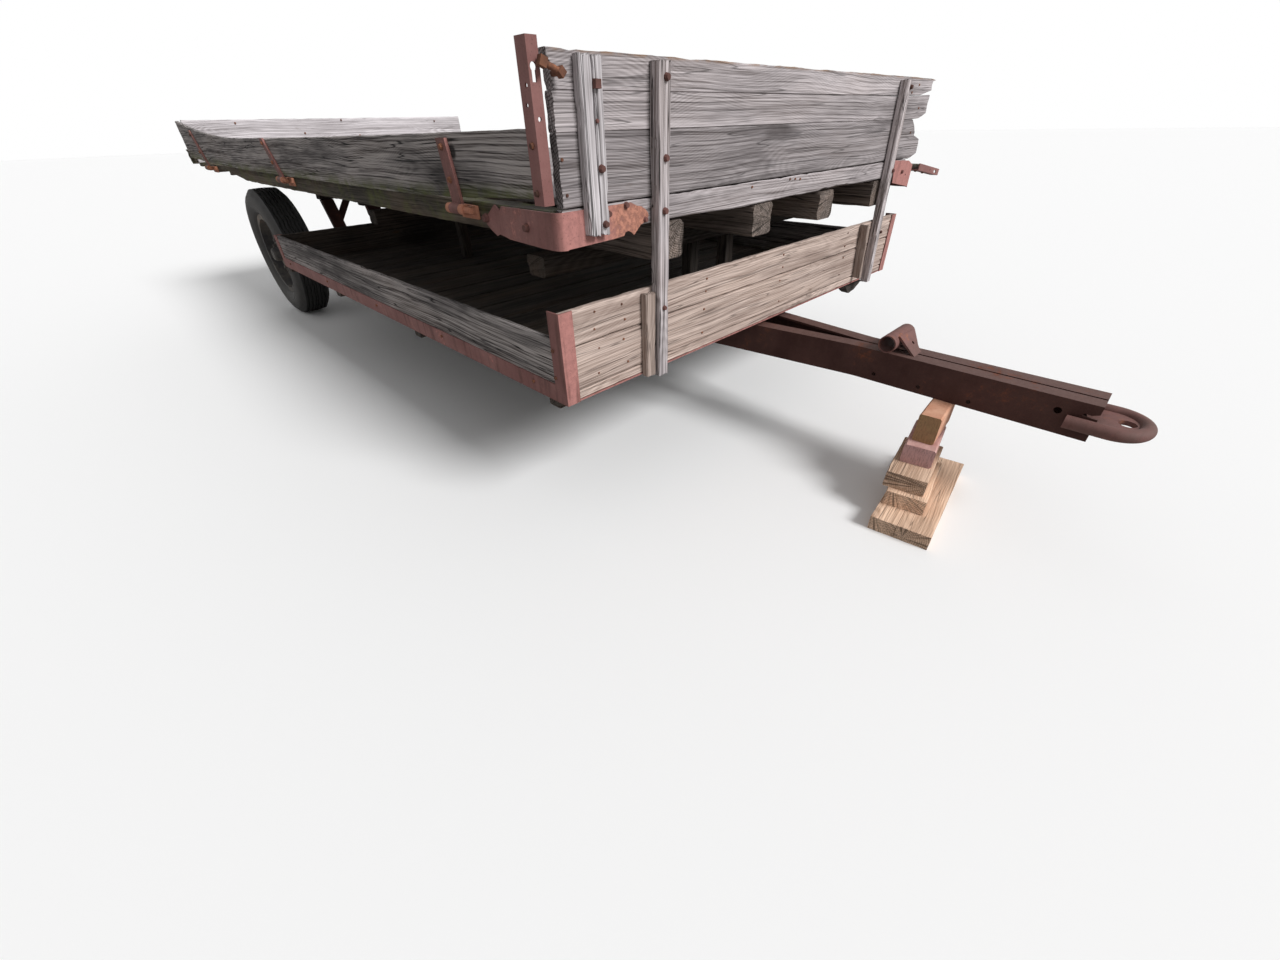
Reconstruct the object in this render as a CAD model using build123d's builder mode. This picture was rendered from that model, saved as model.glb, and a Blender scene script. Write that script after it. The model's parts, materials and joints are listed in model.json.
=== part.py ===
from build123d import *
import math
import os

os.makedirs("parts", exist_ok=True)

# An old two-deck farm trailer: a timber deck over a low timber tray, one axle, an A-frame
# drawbar of two steel channels, parked with the drawbar on a stack of bricks and blocks.
# The left drop side is shut and the right one stands open.
# Millimetres, +Z up, the drawbar points to -Y, and the ground is z = 0.
# A name ending in _d is a distance behind the headboard's front face. X is measured from the
# deck's middle until save() centres the whole outline.

# Overall sizes
deck_length = 4830
deck_width = 2418
deck_bottom = 884
drawbar_reach = 1387
tail_timber_thickness = 45
plank_thickness = 30
board_gap = 2

head_y = (drawbar_reach - deck_length - tail_timber_thickness) / 2


def along(d):
    return head_y + d


# Low tray, set a little to the -X side of the deck
tray_centre_x = -59
tray_width = 2378
tray_length = 3060
tray_bottom = 520
tray_front_top = 816
tray_side_top = 728
tray_side_rear_top = 712
tray_angle_leg = 52
tray_side_leg = 60
tray_angle_thickness = 5
tray_board_thickness = 25
tray_floor_thickness = 20
tray_floor_gap = 12
tray_floor_count = 14
tray_seam_low = 558
tray_seam_high = 703
cross_member_depth = 24
cross_member_width = 60

tray_half = tray_width / 2
tray_left = tray_centre_x - tray_half
tray_right = tray_centre_x + tray_half
tray_floor_bottom = tray_bottom + tray_angle_thickness
tray_floor_top = tray_floor_bottom + tray_floor_thickness

# Deck frame
bearer_depth = 116
bearer_width = 127
joist_depth = 75
joist_width = 70
joist_count = 9
floorboard_thickness = 22
floorboard_count = 10
floorboard_gap = 6
sill_width = 75
sill_lift = 46
sill_lift_lead = 593
sill_lifted_lead = 83
right_sill_drop = 45
bolster_depth = 75
bolster_width = 100
rear_bolster_gap = 90
tail_bolster_gap = 800

bearer_top = deck_bottom + bearer_depth
deck_frame_top = bearer_top + joist_depth
deck_surface = deck_frame_top + floorboard_thickness
half_deck = deck_width / 2
tail_inner_d = deck_length - plank_thickness
inner_half = half_deck - sill_width

# Headboard
headboard_height = 409
upper_plank_height = 163
lower_plank_height = 165
headboard_side_gap = 2
headboard_left_inset = 20
batten_width = 49
batten_thickness = 41
corner_batten_width = 56
corner_batten_thickness = 58
batten_foot = 505

headboard_bottom = bearer_top + 2
headboard_top = bearer_top + headboard_height
headboard_half = half_deck - headboard_side_gap
upper_plank_bottom = headboard_top - upper_plank_height
lower_plank_top = upper_plank_bottom - board_gap
lower_plank_bottom = lower_plank_top - lower_plank_height
strip_top = lower_plank_bottom - board_gap

# Drop sides, hinged on the sills' outer faces
side_gap = 8
side_thickness = 27
side_rear_gap = 14
hinge_height = 1056
right_side_open = 98
strap_width = 55
strap_thickness = 10
front_strap_d = 450
front_strap_lean = 26
middle_strap_d = 2325
middle_strap_lean = 130
rear_strap_inset = 645
rear_strap_lean = 175
pin_radius = 8
pin_clearance = 0.08
knuckle_radius = 15
knuckle_gap = 1
lug_width = 20
lug_arm_height = 22
pin_tail_front = 41
pin_tail_rear = 12
hinge_outset = 39
hinge_plate_thickness = 8
hinge_plate_height = 38
post_flange_side = 42
post_flange_front = 32
post_thickness = 5
post_rise = 17
post_length = 334

side_inner_x = half_deck + side_gap
side_outer_x = side_inner_x + side_thickness
hinge_x = side_inner_x + hinge_outset
side_rear_d = deck_length - side_rear_gap
post_outer_x = side_outer_x + post_thickness
post_top = headboard_top + post_rise
post_bottom = post_top - post_length

# Chassis and drawbar: two rolled channels, toes inward
chassis_top = tray_bottom - cross_member_depth
channel_depth = 127
channel_flange = 64
channel_web = 7
channel_flange_thickness = 9
drawbar_half = 69
nose_setback = 149
drawbar_bend_d = -430
axle_half_spread = 600
chassis_bottom = chassis_top - channel_depth
drawbar_nose_d = nose_setback - drawbar_reach

# Running gear
wheel_radius = 460
tyre_width = 240
rim_radius = 262
rim_flange_radius = 288
axle_setback = 893
axle_beam = 100
wheel_outer_x = 1132
spindle_radius = 34
hub_bore_clearance = 0.08

axle_d = tray_length + axle_setback
wheel_inner_x = wheel_outer_x - tyre_width
axle_y = along(axle_d)
axle_front_d = axle_d - axle_beam / 2
sill_lift_d = axle_d - sill_lift_lead
sill_lifted_d = axle_d - sill_lifted_lead

# The outline reaches from the left hinge knuckles or the tray to the open side's post
tail_timber_overhang = 40
open_turn = math.radians(right_side_open)
open_reach = (post_top - hinge_height) * math.sin(open_turn) - hinge_outset * math.cos(open_turn)
outline_left = -max(hinge_x + knuckle_radius, -tray_left, half_deck + tail_timber_overhang)
outline_right = hinge_x + open_reach
outline_centre_x = (outline_left + outline_right) / 2

# columns: sign of X, word, drop of the sill and hinge, how far the side stands open
side_table = (
    (-1, "left", 0, 0),
    (1, "right", right_sill_drop, right_side_open),
)


def bar(x0, x1, d0, d1, z0, z1):
    """A square-edged bar in the open part, between two corners."""
    with Locations(((x0 + x1) / 2, along((d0 + d1) / 2), (z0 + z1) / 2)):
        Box(abs(x1 - x0), abs(d1 - d0), abs(z1 - z0))


def save(shape, name):
    """Centres a finished piece on the outline, names it and writes its file."""
    centred = shape.moved(Location((-outline_centre_x, 0, 0)))
    centred.label = name
    export_step(centred, "parts/" + name + ".step")


# Deck frame: sills whose undersides rise towards the tail
with BuildPart() as deck_sills:
    for side, word, drop, opened in side_table:
        sill_bottom = bearer_top - drop
        with BuildSketch(Plane.YZ.offset(side * half_deck)):
            with BuildLine():
                Polyline(
                    (along(plank_thickness), sill_bottom),
                    (along(sill_lift_d), sill_bottom),
                    (along(sill_lifted_d), sill_bottom + sill_lift),
                    (along(tail_inner_d), sill_bottom + sill_lift),
                    (along(tail_inner_d), sill_bottom + joist_depth),
                    (along(plank_thickness), sill_bottom + joist_depth),
                    close=True,
                )
            make_face()
        extrude(amount=-side * sill_width)
save(deck_sills.part, "deck_sills")

bearer_places = (-750, -210, 298, 828)
bearer_setback = 5
with BuildPart() as deck_bearers:
    for centre_x in bearer_places:
        bar(
            centre_x - bearer_width / 2, centre_x + bearer_width / 2,
            bearer_setback, tail_inner_d, deck_bottom, bearer_top,
        )
save(deck_bearers.part, "deck_bearers")

joist_pitch = (tail_inner_d - plank_thickness - joist_width) / (joist_count - 1)
with BuildPart() as deck_joists:
    for index in range(joist_count):
        joist_d = plank_thickness + index * joist_pitch
        bar(-inner_half, inner_half, joist_d, joist_d + joist_width, bearer_top, deck_frame_top)
save(deck_joists.part, "deck_joists")

floorboard_pitch = 2 * inner_half / floorboard_count
with BuildPart() as deck_floorboards:
    for index in range(floorboard_count):
        board_x = -inner_half + index * floorboard_pitch
        bar(
            board_x + floorboard_gap / 2, board_x + floorboard_pitch - floorboard_gap / 2,
            plank_thickness, tail_inner_d, deck_frame_top, deck_surface,
        )
save(deck_floorboards.part, "deck_floorboards")

# Bolsters across the bearers' undersides; columns: distance back, half length
bolster_bottom = deck_bottom - bolster_depth
bolster_table = (
    (380, 1010),
    (2150, 900),
    (tray_length + rear_bolster_gap, 600),
    (tray_length + tail_bolster_gap, 668),
)
with BuildPart() as deck_bolsters:
    for bolster_d, half_length in bolster_table:
        bar(-half_length, half_length, bolster_d, bolster_d + bolster_width, bolster_bottom, deck_bottom)
save(deck_bolsters.part, "deck_bolsters")

# Headboard: two planks with ragged right ends and a strip that is broken off short
# columns of the ragged ends: inset from the deck's end, height above the plank's underside
upper_plank_right_end = (
    (153, 0), (74, 4), (50, 18), (0, 33), (4, 69), (8, 98), (4, 140), (-29, 143), (-31, 151), (13, 160),
)
upper_plank_left_end = ((13, 163), (12, 128), (18, 120))
lower_plank_right_end = ((120, 0), (93, -6), (2, 6), (0, 46), (8, 78), (88, 96), (82, 104), (113, 138))
lower_plank_left_end = ((headboard_left_inset, lower_plank_height),)


def headboard_plank(bottom, top, right_end, left_end):
    with BuildPart() as plank:
        with BuildSketch(Plane.XZ.offset(-along(0))):
            with BuildLine():
                Polyline(
                    (headboard_left_inset - headboard_half, bottom),
                    *[(headboard_half - inset, bottom + rise) for inset, rise in right_end],
                    (headboard_half - right_end[0][0], top),
                    *[(inset - headboard_half, bottom + rise) for inset, rise in left_end],
                    close=True,
                )
            make_face()
        extrude(amount=-plank_thickness)
    return plank.part


save(
    headboard_plank(upper_plank_bottom, headboard_top, upper_plank_right_end, upper_plank_left_end),
    "headboard_upper_plank",
)
save(
    headboard_plank(lower_plank_bottom, lower_plank_top, lower_plank_right_end, lower_plank_left_end),
    "headboard_lower_plank",
)

# The strip's left end is rounded to lie inside the bent corner plate
plate_thickness = 4
plate_bend_radius = 30
strip_break_table = ((132, 0), (104, 30), (118, 75))
with BuildPart() as headboard_strip:
    round_radius = plate_bend_radius - plate_thickness + 1
    with BuildSketch(Plane.XZ.offset(-along(0))):
        with BuildLine():
            Polyline(
                (-headboard_half, headboard_bottom),
                *[(headboard_half - inset, headboard_bottom + rise) for inset, rise in strip_break_table[:2]],
                (headboard_half - strip_break_table[2][0], strip_top),
                (-headboard_half, strip_top),
                close=True,
            )
        make_face()
    extrude(amount=-plank_thickness)
    end_edges = headboard_strip.edges().filter_by(Axis.Z).group_by(Axis.X)[0].sort_by(Axis.Y)
    fillet(end_edges[0], radius=round_radius)
save(headboard_strip.part, "headboard_strip")

# Red corner plates bent round the front corners of the deck frame, torn at their ends
# columns: inset from the deck's side, height above the bearers' top
left_plate_front = (
    (-5, -21), (197, -16), (238, -13), (244, -4), (257, -2), (269, -7), (280, -16), (297, -2), (310, 9),
    (338, 16), (344, 30), (341, 39), (328, 50), (315, 57), (293, 62), (270, 72), (-5, 72),
)
right_plate_front = ((-5, -60), (238, -24), (267, 77), (83, 67), (-5, 36))
# columns: distance back, height above the bearers' top
plate_side_leg = (
    (-5, 72), (265, 71), (275, 59), (301, 73), (347, 43), (354, 31), (362, 16), (340, 1), (310, -13),
    (295, -7), (267, -11), (240, -16), (68, -22), (-5, -22),
)
plate_hole_radius = 5


def corner_plate(side, front_leg, side_leg_drop):
    """A strip bent round the corner in plan, trimmed by the outlines of its two legs."""
    outer_x = half_deck + plate_thickness
    centre_x = outer_x - plate_bend_radius
    centre_d = plate_bend_radius - plate_thickness
    front_end = half_deck - max(inset for inset, rise in front_leg)
    side_end = max(d for d, rise in plate_side_leg)
    slant = math.sqrt(0.5)
    inner_radius = plate_bend_radius - plate_thickness
    with BuildPart() as plate:
        with BuildSketch(Plane.XY.offset(bearer_top - 100)):
            with BuildLine():
                Line((side * front_end, along(-plate_thickness)), (side * centre_x, along(-plate_thickness)))
                ThreePointArc(
                    (side * centre_x, along(-plate_thickness)),
                    (side * (centre_x + plate_bend_radius * slant), along(centre_d - plate_bend_radius * slant)),
                    (side * outer_x, along(centre_d)),
                )
                Line((side * outer_x, along(centre_d)), (side * outer_x, along(side_end)))
                Line((side * outer_x, along(side_end)), (side * half_deck, along(side_end)))
                Line((side * half_deck, along(side_end)), (side * half_deck, along(centre_d)))
                ThreePointArc(
                    (side * half_deck, along(centre_d)),
                    (side * (centre_x + inner_radius * slant), along(centre_d - inner_radius * slant)),
                    (side * centre_x, along(0)),
                )
                Line((side * centre_x, along(0)), (side * front_end, along(0)))
                Line((side * front_end, along(0)), (side * front_end, along(-plate_thickness)))
            make_face()
        extrude(amount=200)
        with BuildPart(mode=Mode.INTERSECT):
            with BuildSketch(Plane.YZ.offset(side * (outer_x + 1))):
                with BuildLine():
                    Polyline(
                        *[(along(d), bearer_top + rise - side_leg_drop) for d, rise in plate_side_leg],
                        close=True,
                    )
                make_face()
            extrude(amount=-side * (plate_bend_radius + 1))
            with BuildSketch(Plane.XZ.offset(-along(-plate_thickness - 1))):
                with BuildLine():
                    Polyline(
                        *[(side * (half_deck - inset), bearer_top + rise) for inset, rise in front_leg],
                        close=True,
                    )
                make_face()
            extrude(amount=-plate_bend_radius - 1)
    return plate.part


with BuildPart() as corner_plates:
    add(corner_plate(-1, left_plate_front, 0))
    add(corner_plate(1, right_plate_front, right_sill_drop - 7))
    with BuildSketch(Plane.XZ.offset(-along(-plate_thickness))):
        with Locations((half_deck - 87, bearer_top + 3)):
            Circle(plate_hole_radius)
    extrude(amount=-plate_thickness, mode=Mode.SUBTRACT)
save(corner_plates.part, "corner_plates")

# Battens on the headboard's front: a bleached square one near the corner and two long ones
# that tie the headboard to the low tray's front boards
# columns: x at the top, x at the foot, width, thickness, z of the top, z of the foot
corner_batten_x = -1135
batten_table = (
    (corner_batten_x, corner_batten_x, corner_batten_width, corner_batten_thickness, 1403, 1001),
    (-855, -855, batten_width, batten_thickness, 1398, batten_foot),
    (797, 846, 43, batten_thickness, 1396, batten_foot),
)


def leaning_batten(top_x, foot_x, width, thickness, top_z, foot_z):
    """A batten on a front face, in the open part."""
    with BuildSketch(Plane.XZ.offset(-along(0))) as outline:
        with BuildLine():
            Polyline(
                (foot_x, foot_z), (foot_x + width, foot_z),
                (top_x + width, top_z), (top_x, top_z),
                close=True,
            )
        make_face()
    extrude(outline.sketch, amount=thickness)


with BuildPart() as headboard_battens:
    for row in batten_table:
        leaning_batten(*row)
    with Locations((corner_batten_x + corner_batten_width / 2, along(-plate_thickness / 2), bearer_top)):
        Box(corner_batten_width * 2, plate_thickness, joist_depth * 2, mode=Mode.SUBTRACT)
save(headboard_battens.part, "headboard_battens")

# Tailboard between the drop sides, with a cross timber behind it
tailboard_top = 1356
tail_timber_bottom = 1063
tail_timber_height = 103
with BuildPart() as tailboard:
    bar(-headboard_half, headboard_half, tail_inner_d, deck_length, bearer_top + sill_lift, tailboard_top)
save(tailboard.part, "tailboard")

with BuildPart() as tail_timber:
    tail_half = half_deck + tail_timber_overhang
    bar(
        -tail_half, tail_half, deck_length, deck_length + tail_timber_thickness,
        tail_timber_bottom, tail_timber_bottom + tail_timber_height,
    )
save(tail_timber.part, "tail_timber")

# Drop sides: a long plank whose top sweeps up to the tail, on three strap hinges.
# Each is drawn shut at the left hinge's height, then lowered and swung to where it stands.
side_mid_d = 3000
side_foot_d = 1130
side_foot_rear_d = 2600
# columns: z of the top edge at the front, its low stretch and the tail; the same for the foot
side_top_table = (1258, 1239, 1352)
side_foot_table = (1107, 1073, 1108)
# columns: distance back of the hinge, lean of the strap's top to the rear
strap_table = (
    (front_strap_d, front_strap_lean),
    (middle_strap_d, middle_strap_lean),
    (deck_length - rear_strap_inset, rear_strap_lean),
)
# columns: inset from the post's outer face, depth below its top, radius
post_front_holes = ((14, 55, 9), (16, 152, 5))
keyhole_slot_width = 12
keyhole_slot_length = 28
# columns: distance back, depth below the post's top, radius
post_side_holes = ((12, 88, 5), (18, 125, 5))


def hang(shape, drop, opened):
    """Lowers a shut side's piece to its own hinge and swings it open."""
    lowered = shape.moved(Location((0, 0, -drop)))
    return lowered.rotate(Axis((hinge_x, 0, hinge_height - drop), (0, 1, 0)), opened)


def drop_side(side):
    with BuildPart() as plank:
        with BuildSketch(Plane.YZ.offset(side * side_inner_x)):
            with BuildLine():
                top_front = (along(0), side_top_table[0])
                top_mid = (along(side_mid_d), side_top_table[1])
                top_rear = (along(side_rear_d), side_top_table[2])
                foot_rear = (along(side_rear_d), side_foot_table[2])
                foot_mid = (along(side_foot_rear_d), side_foot_table[1])
                foot_low = (along(side_foot_d), side_foot_table[1])
                foot_front = (along(0), side_foot_table[0])
                TangentArc(top_mid, top_front, tangent=(-1, 0))
                TangentArc(top_mid, top_rear, tangent=(1, 0))
                Line(top_rear, foot_rear)
                TangentArc(foot_mid, foot_rear, tangent=(1, 0))
                Line(foot_mid, foot_low)
                TangentArc(foot_low, foot_front, tangent=(-1, 0))
                Line(foot_front, top_front)
            make_face()
        extrude(amount=side * side_thickness)
    return plank.part


def strap_top(d):
    rise = side_top_table[2] - side_top_table[1]
    return side_top_table[1] + max(0.0, (d - side_mid_d) / (side_rear_d - side_mid_d)) ** 2 * rise


def side_straps(side):
    half = strap_width / 2
    neck_z = hinge_height + knuckle_radius + 5
    with BuildPart() as straps:
        for strap_d, lean in strap_table:
            with BuildSketch(Plane.YZ.offset(side * side_outer_x)):
                with BuildLine():
                    Polyline(
                        (along(strap_d - half), hinge_height),
                        (along(strap_d + half), hinge_height),
                        (along(strap_d + half), neck_z),
                        (along(strap_d + half + lean), strap_top(strap_d)),
                        (along(strap_d - half + lean), strap_top(strap_d)),
                        (along(strap_d - half), neck_z),
                        close=True,
                    )
                make_face()
            extrude(amount=side * strap_thickness)
            with BuildSketch(Plane.XZ.offset(-along(strap_d - half))):
                with Locations((side * hinge_x, hinge_height)):
                    Circle(knuckle_radius)
            extrude(amount=-strap_width)
            with BuildSketch(Plane.XZ.offset(-along(strap_d - half))):
                with Locations((side * hinge_x, hinge_height)):
                    Circle(pin_radius + pin_clearance)
            extrude(amount=-strap_width, mode=Mode.SUBTRACT)
    return straps.part


def hinge_brackets(side, drop):
    half_span = strap_width / 2 + knuckle_gap + lug_width
    plate_face = half_deck + hinge_plate_thickness
    axis_z = hinge_height - drop
    arm_top = axis_z - knuckle_radius + lug_arm_height
    with BuildPart() as brackets:
        for strap_d, lean in strap_table:
            bar(
                side * half_deck, side * plate_face, strap_d - half_span, strap_d + half_span,
                arm_top - hinge_plate_height, arm_top,
            )
            for end in (-1, 1):
                near_d = strap_d + end * (strap_width / 2 + knuckle_gap)
                start_d = min(near_d, near_d + end * lug_width)
                with BuildSketch(Plane.XZ.offset(-along(start_d))):
                    with Locations((side * hinge_x, axis_z)):
                        Circle(knuckle_radius)
                    with Locations((side * (hinge_x + plate_face) / 2, arm_top - lug_arm_height / 2)):
                        Rectangle(hinge_x - plate_face, lug_arm_height)
                extrude(amount=-lug_width)
            with BuildSketch(Plane.XZ.offset(-along(strap_d - half_span - pin_tail_front))):
                with Locations((side * hinge_x, axis_z)):
                    Circle(pin_radius)
            extrude(amount=-2 * half_span - pin_tail_front - pin_tail_rear)
    return brackets.part


def corner_post(side):
    """An angle iron with its front flange across the plank's end, a torn keyhole near its top."""
    front_inner_x = post_outer_x - post_flange_front
    with BuildPart() as post:
        with BuildSketch(Plane.XY.offset(post_bottom)):
            with BuildLine():
                Polyline(
                    (side * front_inner_x, along(-post_thickness)),
                    (side * post_outer_x, along(-post_thickness)),
                    (side * post_outer_x, along(post_flange_side - post_thickness)),
                    (side * side_outer_x, along(post_flange_side - post_thickness)),
                    (side * side_outer_x, along(0)),
                    (side * front_inner_x, along(0)),
                    close=True,
                )
            make_face()
        extrude(amount=post_length)
        with BuildSketch(Plane.XZ.offset(-along(-post_thickness))):
            for inset, depth, radius in post_front_holes:
                with Locations((side * (post_outer_x - inset), post_top - depth)):
                    Circle(radius)
            slot_inset, slot_depth, slot_radius = post_front_holes[0]
            slot_z = post_top - slot_depth - keyhole_slot_length / 2
            with Locations((side * (post_outer_x - slot_inset), slot_z)):
                Rectangle(keyhole_slot_width, keyhole_slot_length)
        extrude(amount=-post_thickness, mode=Mode.SUBTRACT)
        with BuildSketch(Plane.YZ.offset(side * post_outer_x)):
            for hole_d, depth, radius in post_side_holes:
                with Locations((along(hole_d), post_top - depth)):
                    Circle(radius)
        extrude(amount=-side * post_thickness, mode=Mode.SUBTRACT)
    return post.part


for side, word, drop, opened in side_table:
    save(hang(drop_side(side), drop, opened), "drop_side_plank_" + word)
    save(hang(side_straps(side), drop, opened), "drop_side_straps_" + word)
    save(hang(corner_post(side), drop, opened), "drop_side_post_" + word)
    save(hinge_brackets(side, drop), "hinge_brackets_" + word)

# Latch bolt at the headboard's left end: a bent rod from the nut at the post to a square head on the plank
latch_radius = 7
latch_nut = 20
latch_nut_length = 18
latch_nut_reach = 14
latch_nut_d = -23
latch_nut_z = 1379
latch_head = 17
latch_head_depth = 18
latch_head_inset = 30
latch_head_d = -31
latch_head_z = 1361
latch_start = Vector(-half_deck - latch_nut_reach, along(latch_nut_d), latch_nut_z)
latch_end = Vector(latch_head_inset - half_deck, along(latch_head_d), latch_head_z)
latch_run = Plane(origin=latch_start, x_dir=(0, 0, 1), z_dir=latch_end - latch_start)
with BuildPart() as latch_bolts:
    with BuildSketch(latch_run):
        Circle(latch_radius)
    extrude(amount=(latch_end - latch_start).length)
    with Locations(latch_run):
        Box(latch_nut, latch_nut, latch_nut_length)
    with Locations(Location(latch_end, (0, 45, 0))):
        Box(latch_head, latch_head_depth, latch_head)
    with BuildSketch(Plane.XZ.offset(-along(0))):
        with Locations((latch_end.X, latch_end.Z)):
            Circle(latch_radius)
    extrude(amount=-latch_head_d)
save(latch_bolts.part, "latch_bolts")

# Low tray: a welded ring of angle iron with corner uprights
with BuildPart() as tray_angle_frame:
    for outer, side in ((tray_left, -1), (tray_right, 1)):
        inner = outer - side * tray_angle_thickness
        toe = outer - side * tray_angle_leg
        rear_face_d = tray_length - tray_angle_thickness
        bar(outer, inner, -tray_angle_thickness, tray_length, tray_bottom, tray_bottom + tray_side_leg)
        bar(outer, toe, -tray_angle_thickness, tray_length, tray_bottom, tray_floor_bottom)
        bar(outer, inner, -tray_angle_thickness, tray_angle_leg, tray_bottom, tray_front_top)
        bar(outer, toe, -tray_angle_thickness, 0, tray_bottom, tray_front_top)
        bar(outer, inner, tray_length - tray_angle_leg, tray_length, tray_bottom, tray_side_rear_top)
        bar(outer, toe, rear_face_d, tray_length, tray_bottom, tray_side_rear_top)
    bar(tray_left, tray_right, 0, tray_angle_leg, tray_bottom, tray_floor_bottom)
    bar(tray_left, tray_right, tray_length - tray_angle_leg, tray_length, tray_bottom, tray_floor_bottom)
    bar(tray_left, tray_right, rear_face_d, tray_length, tray_bottom, tray_bottom + tray_side_leg)
save(tray_angle_frame.part, "tray_angle_frame")

tray_inner_left = tray_left + tray_angle_thickness
tray_inner_right = tray_right - tray_angle_thickness
tray_front_seams = (
    (tray_floor_bottom, tray_seam_low - board_gap),
    (tray_seam_low, tray_seam_high - board_gap),
    (tray_seam_high, tray_front_top - board_gap),
)
with BuildPart() as tray_front_boards:
    for low_z, high_z in tray_front_seams:
        bar(tray_inner_left, tray_inner_right, 0, tray_board_thickness, low_z, high_z)
save(tray_front_boards.part, "tray_front_boards")

tray_rear_inner_d = tray_length - tray_angle_thickness - tray_board_thickness
with BuildPart() as tray_side_boards:
    for side in (-1, 1):
        with BuildSketch(Plane.YZ.offset(tray_centre_x + side * (tray_half - tray_angle_thickness))):
            with BuildLine():
                Polyline(
                    (along(tray_board_thickness), tray_floor_bottom),
                    (along(tray_rear_inner_d), tray_floor_bottom),
                    (along(tray_rear_inner_d), tray_side_rear_top),
                    (along(tray_board_thickness), tray_side_top),
                    close=True,
                )
            make_face()
        extrude(amount=-side * tray_board_thickness)
save(tray_side_boards.part, "tray_side_boards")

with BuildPart() as tray_rear_board:
    bar(
        tray_inner_left, tray_inner_right, tray_rear_inner_d, tray_length - tray_angle_thickness,
        tray_floor_bottom, tray_side_rear_top - board_gap,
    )
save(tray_rear_board.part, "tray_rear_board")

tray_floor_left = tray_inner_left + tray_board_thickness
tray_floor_right = tray_inner_right - tray_board_thickness
tray_floor_pitch = (tray_rear_inner_d - tray_board_thickness) / tray_floor_count
with BuildPart() as tray_floorboards:
    for index in range(tray_floor_count):
        board_d = tray_board_thickness + index * tray_floor_pitch
        bar(
            tray_floor_left, tray_floor_right, board_d + tray_floor_gap / 2,
            board_d + tray_floor_pitch - tray_floor_gap / 2, tray_floor_bottom, tray_floor_top,
        )
save(tray_floorboards.part, "tray_floorboards")

last_member_inset = 110
cross_member_places = (40, 1050, 2050, tray_length - last_member_inset)
# Rotten packing block under the first cross member; columns: x, depth below the member
rotten_block_outline = (
    (730, 0), (742, 20), (790, 26), (850, 34), (868, 52), (900, 58), (915, 30), (950, 18), (960, 0),
)
rotten_block_width = 50
with BuildPart() as tray_cross_members:
    for member_d in cross_member_places:
        bar(tray_left, tray_right, member_d, member_d + cross_member_width, chassis_top, tray_bottom)
    with BuildSketch(Plane.XZ.offset(-along(cross_member_places[0]))):
        with BuildLine():
            Polyline(*[(x, chassis_top - depth) for x, depth in rotten_block_outline], close=True)
        make_face()
    extrude(amount=-rotten_block_width)
save(tray_cross_members.part, "tray_cross_members")

# Short battens on the tray's front boards; columns as for the headboard's battens
short_batten_table = (
    (-905, -905, 48, 28, 806, 512),
    (690, 728, 20, 45, 812, 546),
)
with BuildPart() as tray_front_battens:
    for row in short_batten_table:
        leaning_batten(*row)
save(tray_front_battens.part, "tray_front_battens")

# Posts that carry the deck on the tray's floor over the chassis
post_size = 60
post_setback = 20


def chassis_x(d):
    """Outer face of a chassis channel's web at a distance d behind the headboard."""
    share = (d - drawbar_bend_d) / (axle_front_d - drawbar_bend_d)
    return drawbar_half + max(0.0, share) * (axle_half_spread - drawbar_half)


with BuildPart() as deck_posts:
    for bolster_d, half_length in bolster_table[:2]:
        post_d = bolster_d + post_setback
        for side in (-1, 1):
            post_x = side * (chassis_x(bolster_d) - channel_flange / 2)
            bar(
                post_x - post_size / 2, post_x + post_size / 2,
                post_d, post_d + post_size, tray_floor_top, bolster_bottom,
            )
save(deck_posts.part, "deck_posts")

# Drawbar and chassis rails: channels parallel at the nose, then spread to the axle


def offset_strip(side, inset, nose_d):
    """Plan outline between the web's outer face and a line set inward by inset."""
    spread = axle_half_spread - drawbar_half
    run = axle_front_d - drawbar_bend_d
    angle = math.atan2(spread, run)
    shift = inset * math.tan(angle / 2)
    end_inset = inset / math.cos(angle)
    outline = (
        (drawbar_half, along(nose_d)),
        (drawbar_half, along(drawbar_bend_d)),
        (axle_half_spread, along(axle_front_d)),
        (axle_half_spread - end_inset, along(axle_front_d)),
        (drawbar_half - inset, along(drawbar_bend_d) + shift),
        (drawbar_half - inset, along(nose_d)),
    )
    return [(side * x, y) for x, y in outline]


hitch_z = 428
# columns: distance behind the hitch's tip, z, radius
web_hole_table = ((257, 448, 12), (513, 392, 8), (694, 396, 8), (872, 398, 8))
# columns: distance behind the nose, height above the hitch bar's middle
web_tear_table = ((-1, 22), (43, 24), (38, 33), (20, 31), (-1, 40))
with BuildPart() as drawbar_channels:
    for side in (-1, 1):
        for inset, low_z, high_z in (
            (channel_web, chassis_bottom, chassis_top),
            (channel_flange, chassis_bottom, chassis_bottom + channel_flange_thickness),
            (channel_flange, chassis_top - channel_flange_thickness, chassis_top),
        ):
            with BuildSketch(Plane.XY.offset(low_z)):
                with BuildLine():
                    Polyline(*offset_strip(side, inset, drawbar_nose_d), close=True)
                make_face()
            extrude(amount=high_z - low_z)
    with BuildSketch(Plane.YZ.offset(-drawbar_half)):
        for hole_setback, hole_z, hole_radius in web_hole_table:
            with Locations((along(hole_setback - drawbar_reach), hole_z)):
                Circle(hole_radius)
        with BuildLine():
            Polyline(
                *[(along(drawbar_nose_d + back), hitch_z + rise) for back, rise in web_tear_table],
                close=True,
            )
        make_face()
    extrude(amount=channel_web, mode=Mode.SUBTRACT)
save(drawbar_channels.part, "drawbar_channels")

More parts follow.
